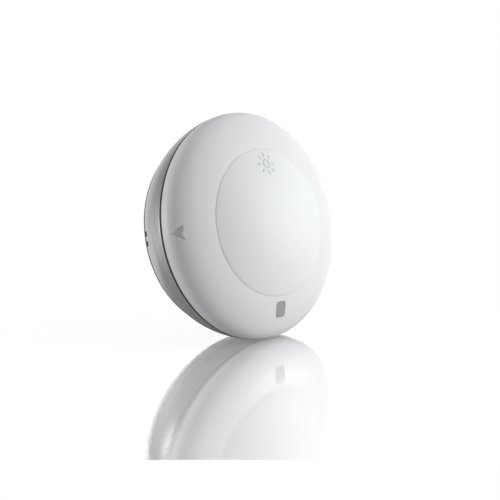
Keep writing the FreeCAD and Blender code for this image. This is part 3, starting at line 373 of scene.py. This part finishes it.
# Electronics: a square microcontroller in epoxy with tinned legs, a crystal in a drawn nickel
# silver can, a radio board under a folded tin plated shield, an aluminium can capacitor and
# rows of small ceramic parts with tinned ends, all soldered on the board.
CHIP = (27.0, -8.7)
CERAMIC_LENGTH = 1.7
CERAMIC_BARE = 1.0
CERAMIC_PITCH = 2.2
CERAMIC_GRAIN = 0.25
CERAMIC_ROWS = ((27.0, -2.8, 6.0), (15.0, -7.6, 2.5), (-17.8, -6.8, 3.6), (-17.8, -9.6, 3.6))


def small_ceramics(name):
    """Ceramic chips, which lie across their rows, with tinned ends.

    A part's body colour is taken from scattered cells about as wide as the parts' pitch. A point
    is on a tinned end where it is beyond a part's bare middle but within the part's length.
    Each row is given by its middle's X and Z and half its length.
    """
    material, place = new_material(name)
    cells = add_node(material, "ShaderNodeTexVoronoi", {
        "Vector": place, "Scale": 1000 / CERAMIC_PITCH})
    pick = add_node(material, "ShaderNodeSeparateColor", {"Color": cells.outputs["Color"]})
    body = add_node(material, "ShaderNodeMix", {
        "Factor": pick.outputs[0],
        "A": linear("#3A3632"),
        "B": linear("#B59A74"),
    }, data_type="RGBA")
    tinned = 0.0
    for middle_x, middle_z, half_row in CERAMIC_ROWS:
        off_middle = beyond(material, place, (middle_x, middle_z), half_row, CERAMIC_BARE / 2)
        off_part = beyond(material, place, (middle_x, middle_z), half_row, CERAMIC_LENGTH / 2)
        ends = add_node(material, "ShaderNodeMath", {
            0: off_middle, 1: off_part}, operation="SUBTRACT")
        tinned = add_node(material, "ShaderNodeMath", {0: ends.outputs[0], 1: tinned}).outputs[0]
    tint = add_node(material, "ShaderNodeMix", {
        "Factor": tinned,
        "A": body.outputs["Result"],
        "B": linear(TINNED),
    }, data_type="RGBA")
    grain = add_node(material, "ShaderNodeTexNoise", {
        "Vector": place, "Scale": 1000 / CERAMIC_GRAIN, "Detail": 2.0})
    bump = add_node(material, "ShaderNodeBump", {
        "Height": grain.outputs["Fac"], "Distance": GRAIN_RELIEF / 1000})
    shader = add_node(material, "ShaderNodeBsdfPrincipled", {
        "Base Color": tint.outputs["Result"],
        "Metallic": tinned,
        "Roughness": 0.38,
        "Normal": bump.outputs["Normal"],
    })
    return close_material(material, shader)


# Black epoxy, ground matt, with bright tinned legs
chip_epoxy = part_with_legs(
    "microcontroller_epoxy_black", CHIP, half_x=3.5, half_z=3.5,
    body_colour="#222326", body_roughness=0.55)
give(chip_epoxy, "microcontroller")
give(small_ceramics("chip_parts_ceramic"), "chip_parts")
# Drawn and rolled metal cans: nickel silver, tin plate and aluminium are much alike here
can_metal = bright_metal("can_nickel_silver_drawn", "#BDBBB4", roughness=0.28, grain=1.6)
give(can_metal, "crystal", "radio_shield", "buffer_capacitor")
# Bare copper wire, drawn and a little dull
antenna_copper = bright_metal("antenna_copper_drawn", "#C67F55", roughness=0.33, grain=0.6)
give(antenna_copper, "antenna")

# Status light: a small white resin light on the board and a clear acrylic pipe over it, which
# leads its light up to the window at the bottom of the cover.
led_resin = moulded_plastic(
    "led_silicone_phosphor", "#E9DFA8", "#E3D48C", roughness=0.35, grain=0.6, relief=0.004)
give(led_resin, "status_led")
# Moulded acrylic: clear, glossy, with the slightest green
pipe_acrylic = clear_moulding("pipe_acrylic_clear", "#F2F7F5", roughness=0.05, index=1.49)
give(pipe_acrylic, "status_light_pipe")

# Battery holder: a black nylon tray with two AAA cells side by side, and nickel plated spring
# contacts in its end walls. Each cell is a drawn steel can in a printed plastic sleeve.
POSITIVE_SIDE = {"battery_upper": 1, "battery_lower": -1}
SLEEVE_START = -20.9
BAND_START = 12.5
SLEEVE_END = 21.6
WRINKLE_WIDTH = 3.0
WRINKLE_RELIEF = 0.03


def cell_sleeve(name, side):
    """A cell's sleeve and its bare steel ends.

    Along the cell, from its flat end to its positive end, come bare steel, the dark sleeve, a
    pale band a fifth of the length and bare steel again.
    """
    material, place = new_material(name)
    axes = add_node(material, "ShaderNodeSeparateXYZ", {"Vector": place})
    along = add_node(material, "ShaderNodeMath", {
        0: axes.outputs["X"], 1: 1000.0 * side}, operation="MULTIPLY")
    band = add_node(material, "ShaderNodeMath", {
        0: along.outputs[0], 1: BAND_START}, operation="GREATER_THAN")
    sleeve = add_node(material, "ShaderNodeMix", {
        "Factor": band.outputs[0],
        "A": linear("#33475B"),
        "B": linear("#C9D3DA"),
    }, data_type="RGBA")
    high = add_node(material, "ShaderNodeMath", {
        0: along.outputs[0], 1: SLEEVE_END}, operation="GREATER_THAN")
    low = add_node(material, "ShaderNodeMath", {
        0: along.outputs[0], 1: SLEEVE_START}, operation="LESS_THAN")
    bare = add_node(material, "ShaderNodeMath", {
        0: high.outputs[0], 1: low.outputs[0]}, operation="ADD")
    tint = add_node(material, "ShaderNodeMix", {
        "Factor": bare.outputs[0],
        "A": sleeve.outputs["Result"],
        "B": linear("#C8C8C4"),
    }, data_type="RGBA")
    wrinkles = add_node(material, "ShaderNodeTexNoise", {
        "Vector": place, "Scale": 1000 / WRINKLE_WIDTH, "Detail": 2.0})
    matt = add_node(material, "ShaderNodeMapRange", {
        "Value": wrinkles.outputs["Fac"], "To Min": 0.2, "To Max": 0.36})
    bump = add_node(material, "ShaderNodeBump", {
        "Height": wrinkles.outputs["Fac"], "Distance": WRINKLE_RELIEF / 1000})
    shader = add_node(material, "ShaderNodeBsdfPrincipled", {
        "Base Color": tint.outputs["Result"],
        "Metallic": bare.outputs[0],
        "Roughness": matt.outputs["Result"],
        "Normal": bump.outputs["Normal"],
    })
    return close_material(material, shader)


# Glass filled nylon: near black, slightly streaked
holder_nylon = moulded_plastic(
    "holder_nylon_black", "#2B2C2E", "#343538", roughness=0.5, grain=0.5, relief=0.012)
give(holder_nylon, "battery_holder")
for cell, side in POSITIVE_SIDE.items():
    give(cell_sleeve(cell + "_PVC_sleeve", side), cell)
# Nickel plated spring steel: bright with a warm cast
contact_nickel = bright_metal(
    "contact_spring_steel_nickel", "#C9C4B8", roughness=0.26, grain=0.7)
give(contact_nickel, "bridge_contact", "terminal_contacts")
# Blued spring steel of the clips: darker and duller
clip_steel = bright_metal("clip_spring_steel", "#8F9294", roughness=0.34, grain=0.7)
give(clip_steel, "clip_springs")

# Controls: a curved cover plate in grey ABS on two screw wells, with a round program button
# over a push switch, and a threshold dial pressed on the spindle of a blue potentiometer.
SWITCH = (-17.2, 24.6)
DIAL = (17.2, 24.6)
bezel_abs = moulded_plastic(
    "bezel_ABS_spark_eroded", "#5E6265", "#585C5F", roughness=0.5, grain=0.45, relief=0.012)
give(bezel_abs, "control_bezel")
# Acetal of the button and the spindle: off-white and waxy
button_acetal = moulded_plastic(
    "button_acetal_white", "#DEDFDB", "#D8D9D4", roughness=0.34, grain=0.7, relief=0.005)
give(button_acetal, "program_button", "potentiometer_spindle")
# Push switch: black nylon body with tinned legs and a black plunger
switch_nylon = part_with_legs(
    "switch_nylon_black", SWITCH, half_x=3.0, half_z=3.0,
    body_colour="#28292B", body_roughness=0.45)
give(switch_nylon, "button_switch")
give(holder_nylon, "switch_plunger")
# Potentiometer: a blue polyester body with tinned legs
potentiometer_polyester = part_with_legs(
    "potentiometer_polyester_blue", DIAL, half_x=5.0, half_z=5.0,
    body_colour="#2E5E9E", body_roughness=0.4)
give(potentiometer_polyester, "potentiometer")
# Dial in signal orange acetal, so that it is found at once
dial_acetal = moulded_plastic(
    "dial_acetal_orange", "#D9702B", "#D26A28", roughness=0.36, grain=0.6, relief=0.006)
give(dial_acetal, "threshold_dial")

# Seal: a flat ring with a round bead, moulded in dark grey EPDM rubber. The cover presses it on
# the housing's edge, and its bead shows as a thin dark line round the body.
seal_rubber = moulded_plastic(
    "seal_EPDM_matt", "#5C5F61", "#575A5C", roughness=0.72, grain=0.5, relief=0.02)
give(seal_rubber, "cover_seal")

# Front cover: a shell moulded in white ASA with a satin face, which lets a little light into
# its wall. Four blades inside it press into the housing's steel clips, and an arrow is sunk
# into its left shoulder.
cover_asa = moulded_plastic(
    "cover_ASA_white_satin", "#E6E7E9", "#E3E4E6", roughness=0.40, grain=0.5, relief=0.004,
    **{"Subsurface Weight": 0.15, "Subsurface Radius": (1.0, 1.0, 1.0), "Subsurface Scale": 0.0012,
       "Specular IOR Level": 0.3},
)
give(cover_asa, "front_cover")

# Window: a dome moulded in opal polycarbonate, welded into the cover over the light sensor.
# It is a shade lighter and more translucent than the cover, and more matt.
WINDOW_RADIUS = 35.3
WINDOW_RISE = 6.4
WINDOW_WALL = 2.0
WINDOW_ROUND = 0.1
WINDOW_ROUND_SHARES = ((0.9, 0.32), (0.3, -0.05), (0.0, -0.6), (0.0, -2.0))
WINDOW_STEPS = 160
OUTER_STEPS = 49
INNER_STEPS = 25
WINDOW_BOTTOM = -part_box("sun_window")[1][1] * 1000
WINDOW_EDGE = -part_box("sun_window")[0][1] * 1000 - WINDOW_RISE


def upright(points):
    """Points drawn from the wall to the front, in millimetres, as row frame metres.

    X stays, the height above the wall becomes the distance along minus Y, and the drawing's Y
    becomes Z.
    """
    points = np.asarray(points)
    return np.stack([points[..., 0], -points[..., 2], points[..., 1]], axis=-1) / 1000


def grid_faces(rows, columns, close_rows=False, close_columns=False):
    """Corners of the squares between the rows and columns of a grid of points.

    A square takes a point, its neighbour in the next row, the one beyond that in the next column
    and its own neighbour there. A closed direction joins its last points to its first.
    """
    row = np.arange(rows if close_rows else rows - 1)[:, None]
    column = np.arange(columns if close_columns else columns - 1)[None, :]
    next_row = (row + 1) % rows
    next_column = (column + 1) % columns
    corners = [
        row * columns + column,
        next_row * columns + column,
        next_row * columns + next_column,
        row * columns + next_column,
    ]
    squares = (row.size, column.size)
    return np.stack([np.broadcast_to(corner, squares).ravel() for corner in corners], axis=-1)


def surface_piece(name, points, faces, material, body):
    """A smooth mesh from points and the corners of its faces, riding on a body."""
    mesh = bpy.data.meshes.new(name)
    mesh.from_pydata(points.reshape(-1, 3).tolist(), [], faces)
    mesh.shade_smooth()
    mesh.materials.append(material)
    piece = bpy.data.objects.new(name, mesh)
    bpy.context.scene.collection.objects.link(piece)
    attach(piece, body)
    return piece


def cap(radius, rise, edge, steps):
    """Radii and heights along a spherical cap, from its circle up to the axis.

    The sphere's radius is the sum of the squares of the cap's radius and rise over twice the
    rise. The points lie at even angles from the edge's angle to zero.
    """
    ball = (radius ** 2 + rise ** 2) / (2 * rise)
    turn = np.linspace(math.asin(radius / ball), 0, steps)
    return np.stack([ball * np.sin(turn), edge + rise - ball * (1 - np.cos(turn))], axis=-1)


def turned_piece(name, profile, steps, material, body):
    """A closed solid turned about the sensor's axis from a profile of radii and heights.

    The profile starts on the axis at the front and ends on it behind. Each of its other points
    gives a circle, radius times cosine and sine of the angle, and its two ends give one point
    each, joined to their neighbour circle by triangles.
    """
    circles = profile[1:-1]
    turn = np.arange(steps) * 2 * math.pi / steps
    x = circles[:, :1] * np.cos(turn)
    y = circles[:, :1] * np.sin(turn)
    z = np.broadcast_to(circles[:, 1:], x.shape)
    points = np.stack([x, y, z], axis=-1).reshape(-1, 3)
    front = len(points)
    points = np.concatenate([points, [(0, 0, profile[0, 1]), (0, 0, profile[-1, 1])]])
    here = np.arange(steps)
    after = (here + 1) % steps
    last = front - steps
    front_fan = np.stack([np.full(steps, front), here, after], axis=-1)
    rear_fan = np.stack([last + here, np.full(steps, front + 1), last + after], axis=-1)
    faces = grid_faces(len(circles), steps, close_columns=True).tolist()
    faces += front_fan.tolist() + rear_fan.tolist()
    return surface_piece(name, upright(points), faces, material, body)


window_polycarbonate = moulded_plastic(
    "window_polycarbonate_opal", "#E9EBEC", "#E6E9EA", roughness=0.52, grain=0.6, relief=0.003,
    **{"Subsurface Weight": 0.35, "Subsurface Radius": (1.0, 1.0, 1.1), "Subsurface Scale": 0.002,
       "Specular IOR Level": 0.3},
)
window_inside = WINDOW_RADIUS - WINDOW_WALL
window_inner_rise = WINDOW_RISE * (1 - WINDOW_WALL / WINDOW_RADIUS)
window_inner_edge = WINDOW_EDGE + WINDOW_RISE - WINDOW_WALL - window_inner_rise
outer_cap = cap(WINDOW_RADIUS, WINDOW_RISE, WINDOW_EDGE, OUTER_STEPS)
outer_cap = outer_cap[outer_cap[:, 0] < WINDOW_RADIUS - WINDOW_ROUND]
# The profile: the dome from the axis out, its rounded edge, the rim's wall and foot, and the
# hollow back to the axis. The edge's points are shares of its round, inward and up.
window_profile = np.concatenate([
    outer_cap[::-1],
    [
        (WINDOW_RADIUS - inward * WINDOW_ROUND, WINDOW_EDGE + up * WINDOW_ROUND)
        for inward, up in WINDOW_ROUND_SHARES
    ],
    [
        (WINDOW_RADIUS, WINDOW_BOTTOM + WINDOW_ROUND),
        (WINDOW_RADIUS - WINDOW_ROUND, WINDOW_BOTTOM),
        (window_inside + WINDOW_ROUND, WINDOW_BOTTOM),
        (window_inside, WINDOW_BOTTOM + WINDOW_ROUND),
    ],
    cap(window_inside, window_inner_rise, window_inner_edge, INNER_STEPS),
])
window_dome = turned_piece(
    "window_dome", window_profile, WINDOW_STEPS, window_polycarbonate, "cover")
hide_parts("sun_window")

# Status window: a small plate of smoked polycarbonate with a satin face, set flush into the
# cover over the light pipe, so that the status light shines through it.
smoked = moulded_plastic(
    "status_polycarbonate_smoked", "#A2A5A7", "#9EA1A3", roughness=0.32, grain=1.5, relief=0.002,
    **{"Specular IOR Level": 0.3},
)
give(smoked, "status_window")

# Sun mark: a small ring with eight short rays, pad printed in pale grey ink near the top of the
# window, to tell which side of the sensor is up and what it measures.
MARK_CENTRE = 27.6
RING_RADIUS = 1.85
RING_WIDTH = 0.75
RING_STEPS = 48
RING_STRIPS = 3
RAY_START = 3.4
RAY_END = 5.6
RAY_WIDTH = 1.0
RAY_COUNT = 8
RAY_STEPS = 13
RAY_STRIPS = 5
RAY_POWER = 6
RAY_BLUNT = 1.0001
INK_LIFT = 0.03
INK_THICKNESS = 0.05


def on_window(x, y, lift):
    """Points on the window's dome.

    The dome is part of a sphere. Its radius is the sum of the squares of the dome's radius and
    rise over twice the rise. A point lies at its X and Y, at the height of the sphere there, and
    is then moved away from the sphere's middle by the lift.
    """
    ball = (WINDOW_RADIUS ** 2 + WINDOW_RISE ** 2) / (2 * WINDOW_RISE)
    middle = WINDOW_EDGE + WINDOW_RISE - ball
    points = np.stack([x, y, middle + np.sqrt(ball ** 2 - x ** 2 - y ** 2)], axis=-1)
    away = points - (0, 0, middle)
    return points + away * lift / ball


def thicken(piece, thickness):
    """Gives an open sheet a thickness in millimetres, half of it to each side."""
    wall = piece.modifiers.new("thickness", "SOLIDIFY")
    wall.thickness = thickness / 1000
    wall.offset = 0.0


# Pad printing ink: thin, dull, a pale grey a few shades below the window
mark_ink = moulded_plastic(
    "mark_ink_pad_printed", "#D5D9DC", "#D2D6D9", roughness=0.5, grain=0.3, relief=0.004)

# The ring is a grid of its turn and its width
ring_turn, ring_across = np.meshgrid(
    np.linspace(0, 2 * math.pi, RING_STEPS, endpoint=False),
    np.linspace(-0.5, 0.5, RING_STRIPS),
    indexing="ij",
)
ring_radius = RING_RADIUS + ring_across * RING_WIDTH
ring_x = ring_radius * np.cos(ring_turn)
ring_y = MARK_CENTRE + ring_radius * np.sin(ring_turn)
ring_faces = grid_faces(RING_STEPS, RING_STRIPS, close_rows=True)[:, ::-1]
ring_points = on_window(ring_x, ring_y, INK_LIFT)
mark_ring = surface_piece(
    "sun_mark_ring", upright(ring_points), ring_faces.tolist(), mark_ink, "cover")
thicken(mark_ring, INK_THICKNESS)

# Each ray is a stroke that narrows as a superellipse: at a share of its half length, its width
# is the sixth root of one less that share to the sixth. The blunt value stands for the one and
# is a little more, so that the ends keep a trace of width.
ray_along, ray_across, ray_turn = np.meshgrid(
    np.linspace(-1, 1, RAY_STEPS),
    np.linspace(-0.5, 0.5, RAY_STRIPS),
    np.arange(RAY_COUNT) * 2 * math.pi / RAY_COUNT,
    indexing="ij",
)
ray_radius = (RAY_START + RAY_END) / 2 + ray_along * (RAY_END - RAY_START) / 2
ray_side = ray_across * RAY_WIDTH * (RAY_BLUNT - ray_along ** RAY_POWER) ** (1 / RAY_POWER)
ray_x = ray_radius * np.cos(ray_turn) - ray_side * np.sin(ray_turn)
ray_y = ray_radius * np.sin(ray_turn) + ray_side * np.cos(ray_turn)
ray_points = on_window(ray_x, MARK_CENTRE + ray_y, INK_LIFT)
ray_points = np.moveaxis(ray_points, 2, 0)
ray_faces = grid_faces(RAY_STEPS, RAY_STRIPS)[:, ::-1]
ray_faces = np.concatenate([
    ray_faces + RAY_STEPS * RAY_STRIPS * ray for ray in range(RAY_COUNT)])
mark_rays = surface_piece(
    "sun_mark_rays", upright(ray_points), ray_faces.tolist(), mark_ink, "cover")
thicken(mark_rays, INK_THICKNESS)

# Floor: a sheet of white acrylic that the sensor is propped on, with the room beyond it white.
# The sensor leans back on it, so its plane tilts in the sensor's own frame. It ends close
# behind the sensor and a hand's length before it.
FLOOR_POINT = np.array([0.0, -0.0100, -0.0527])
FLOOR_NORMAL = np.array([-0.015, -0.212, 0.977])
CAMERA_TARGET = np.array([0.0, -0.0213, 0.0])
CAMERA_BACK = np.array([-0.70473, -0.70890, -0.03120])
CAMERA_UP = np.array([0.07789, -0.12090, 0.98964])
CAMERA_DISTANCE = 0.440
FLOOR_NEAR = 0.162
FLOOR_FAR = 0.040
FLOOR_HALF_WIDTH = 0.45
FLOOR_ROWS = 9
FLOOR_COLUMNS = 25


def floor_sheet():
    """A flat grid in the floor's plane.

    One direction is the way to the camera less its share along the normal, and the other is at
    a right angle to it and the normal.
    """
    normal = FLOOR_NORMAL / np.linalg.norm(FLOOR_NORMAL)
    near = CAMERA_BACK - normal * CAMERA_BACK.dot(normal)
    near /= np.linalg.norm(near)
    across = np.cross(near, normal)
    foot = CAMERA_TARGET - normal * (CAMERA_TARGET - FLOOR_POINT).dot(normal)
    depth, width = np.meshgrid(
        np.linspace(-FLOOR_FAR, FLOOR_NEAR, FLOOR_ROWS),
        np.linspace(-FLOOR_HALF_WIDTH, FLOOR_HALF_WIDTH, FLOOR_COLUMNS),
        indexing="ij",
    )
    return foot + depth[..., None] * near + width[..., None] * across


# Polished white acrylic: at a low slant most of what is seen of it is the mirrored sensor and
# room, and from above its white body with the sensor's shadow. Its fine orange peel blurs the
# mirror image. Some white is added for the camera, so that the bare floor is the white of the
# room, while the sensor gets only the body's light.
FLOOR_MIRROR = 0.72
FLOOR_MIRROR_ABOVE = 0.10
FLOOR_GLOW = 0.70
FLOOR_SLANT_ABOVE = 0.30
FLOOR_SLANT_LOW = 0.62
FLOOR_CLOUDS = 60
FLOOR_PEEL = 0.5
FLOOR_PEEL_RELIEF = 0.012
floor_acrylic, floor_place = new_material("floor_acrylic_white")
floor_cloud = add_node(floor_acrylic, "ShaderNodeTexNoise", {
    "Vector": floor_place, "Scale": 1000 / FLOOR_CLOUDS})
floor_tint = add_node(floor_acrylic, "ShaderNodeMix", {
    "Factor": floor_cloud.outputs["Fac"],
    "A": linear("#C6C6C6"),
    "B": linear("#CACACA"),
}, data_type="RGBA")
floor_body = add_node(floor_acrylic, "ShaderNodeBsdfDiffuse", {
    "Color": floor_tint.outputs["Result"]})
floor_peel = add_node(floor_acrylic, "ShaderNodeTexNoise", {
    "Vector": floor_place, "Scale": 1000 / FLOOR_PEEL, "Detail": 0.0})
floor_bump = add_node(floor_acrylic, "ShaderNodeBump", {
    "Height": floor_peel.outputs["Fac"], "Distance": FLOOR_PEEL_RELIEF / 1000})
floor_mirror = add_node(floor_acrylic, "ShaderNodeBsdfGlossy", {
    "Color": linear("#FFFFFF"), "Roughness": 0.0, "Normal": floor_bump.outputs["Normal"]})
floor_eye = add_node(floor_acrylic, "ShaderNodeLightPath").outputs["Is Camera Ray"]
floor_slant = add_node(floor_acrylic, "ShaderNodeLayerWeight", {"Blend": 0.5})
floor_gloss = add_node(floor_acrylic, "ShaderNodeMapRange", {
    "Value": floor_slant.outputs["Facing"],
    "From Min": FLOOR_SLANT_ABOVE,
    "From Max": FLOOR_SLANT_LOW,
    "To Min": FLOOR_MIRROR_ABOVE,
    "To Max": FLOOR_MIRROR,
}, interpolation_type="SMOOTHSTEP")
floor_share = add_node(floor_acrylic, "ShaderNodeMath", {
    0: floor_eye, 1: floor_gloss.outputs["Result"]}, operation="MULTIPLY")
floor_glow = add_node(floor_acrylic, "ShaderNodeMath", {
    0: floor_eye, 1: FLOOR_GLOW}, operation="MULTIPLY")
floor_white = add_node(floor_acrylic, "ShaderNodeEmission", {
    "Color": linear("#FFFFFF"), "Strength": floor_glow.outputs[0]})
floor_lit = add_node(floor_acrylic, "ShaderNodeAddShader", {
    0: floor_body.outputs[0], 1: floor_white.outputs[0]})
floor_seen = add_node(floor_acrylic, "ShaderNodeMixShader", {
    "Fac": floor_share.outputs[0], 1: floor_lit.outputs[0], 2: floor_mirror.outputs[0]})
close_material(floor_acrylic, floor_seen)
floor_mesh = bpy.data.meshes.new("floor")
floor_faces = grid_faces(FLOOR_ROWS, FLOOR_COLUMNS)
floor_mesh.from_pydata(floor_sheet().reshape(-1, 3).tolist(), [], floor_faces.tolist())
floor_mesh.materials.append(floor_acrylic)
floor = bpy.data.objects.new("floor", floor_mesh)
bpy.context.scene.collection.objects.link(floor)

# Light: a white room and three softboxes, the strongest in front at the right and weaker ones
# behind at the left and overhead. Satin and metal faces mirror a room that is dark round the
# camera and above the left side, while the floor's mirror shows it white all round.
ROOM_LEVEL = 0.34
DARK_START = 0.35
DARK_FULL = 0.95
CEILING_WAY = (-0.60, 0.20, 0.775)
CEILING_START = 0.20
CEILING_FULL = 0.65
DARK_LEVEL = 0.1
LAMP_DISTANCE = 0.9
LAMP_SIZE = 0.4


def softbox(name, direction, power):
    """A square lamp that faces the sensor from a direction, with its power in watts."""
    lamp = bpy.data.lights.new(name, "AREA")
    lamp.shape = "SQUARE"
    lamp.size = LAMP_SIZE
    lamp.energy = power
    holder = bpy.data.objects.new(name, lamp)
    way = np.array(direction) / np.linalg.norm(direction)
    holder.location = CAMERA_TARGET + way * LAMP_DISTANCE
    holder.rotation_mode = "QUATERNION"
    holder.rotation_quaternion = Vector(way).to_track_quat("Z", "Y")
    bpy.context.scene.collection.objects.link(holder)


softbox("softbox_right", (0.68, -0.73, 0.08), power=6.5)
softbox("softbox_behind", (-0.78, 0.58, 0.17), power=3.2)
softbox("softbox_top", (0.1, -0.05, 1.0), power=1.0)

# The room's white: full where the camera, clear parts and the floor's mirror see it, darker
# where satin faces mirror it toward the camera or the ceiling, and the room's level as light
world = bpy.data.worlds.new("room")
world.use_nodes = True
world.node_tree.nodes.clear()
bpy.context.scene.world = world
eye = add_node(world, "ShaderNodeLightPath")
room_way = add_node(world, "ShaderNodeTexCoord").outputs["Generated"]
to_camera = add_node(world, "ShaderNodeVectorMath", {
    0: room_way, 1: tuple(CAMERA_BACK)}, operation="DOT_PRODUCT")
dusk = add_node(world, "ShaderNodeMapRange", {
    "Value": to_camera.outputs["Value"],
    "From Min": DARK_START,
    "From Max": DARK_FULL,
    "To Min": 1.0,
    "To Max": DARK_LEVEL,
}, interpolation_type="SMOOTHSTEP")
to_ceiling = add_node(world, "ShaderNodeVectorMath", {
    0: room_way, 1: CEILING_WAY}, operation="DOT_PRODUCT")
ceiling = add_node(world, "ShaderNodeMapRange", {
    "Value": to_ceiling.outputs["Value"],
    "From Min": CEILING_START,
    "From Max": CEILING_FULL,
    "To Min": 1.0,
    "To Max": DARK_LEVEL,
}, interpolation_type="SMOOTHSTEP")
mirrored = add_node(world, "ShaderNodeMath", {
    0: dusk.outputs["Result"], 1: ceiling.outputs["Result"]}, operation="MINIMUM")
level = add_node(world, "ShaderNodeMapRange", {
    "Value": eye.outputs["Is Glossy Ray"], "To Min": ROOM_LEVEL, "To Max": mirrored.outputs[0]})
through = add_node(world, "ShaderNodeMath", {
    0: eye.outputs["Is Transmission Ray"], 1: eye.outputs["Is Singular Ray"]}, operation="MAXIMUM")
seen = add_node(world, "ShaderNodeMath", {
    0: eye.outputs["Is Camera Ray"], 1: through.outputs[0]}, operation="MAXIMUM")
strength = add_node(world, "ShaderNodeMath", {
    0: level.outputs["Result"], 1: seen.outputs[0]}, operation="MAXIMUM")
room = add_node(world, "ShaderNodeBackground", {
    "Color": linear("#FFFFFF"), "Strength": strength.outputs[0]})
add_node(world, "ShaderNodeOutputWorld", {"Surface": room.outputs[0]})

# Camera: 44 degrees to the sensor's left and level with its middle, at the photograph's distance.
# It aims below the middle of the seal, which lands a little above the picture's middle.
FOCAL_PIXELS = 904.0
PICTURE_PIXELS = 500.0
TARGET_RIGHT = -1.0
TARGET_UP = 24.0


def camera_axes():
    """The camera's right, up and back axes as columns.

    The way to the target is turned so that the target lands the given pixels right of and above
    the picture's middle: the offsets over the focal length are taken off it along right and up.
    """
    right = np.cross(CAMERA_UP, CAMERA_BACK)
    offset = right * TARGET_RIGHT + CAMERA_UP * TARGET_UP
    ahead = -CAMERA_BACK - offset / FOCAL_PIXELS
    ahead /= np.linalg.norm(ahead)
    right = np.cross(ahead, CAMERA_UP)
    right /= np.linalg.norm(right)
    return np.stack([right, np.cross(right, ahead), -ahead], axis=1)


camera_data = bpy.data.cameras.new("camera")
camera_data.sensor_width = 36.0
camera_data.lens = FOCAL_PIXELS / PICTURE_PIXELS * camera_data.sensor_width
camera_data.clip_start = 0.01
camera = bpy.data.objects.new("camera", camera_data)
bpy.context.scene.collection.objects.link(camera)
bpy.context.scene.camera = camera
camera_place = np.eye(4)
camera_place[:3, :3] = camera_axes()
camera_place[:3, 3] = CAMERA_TARGET + CAMERA_BACK * CAMERA_DISTANCE
camera.matrix_world = camera_place.T.tolist()

# Plain colours
bpy.context.scene.view_settings.view_transform = "Standard"
bpy.context.view_layer.update()
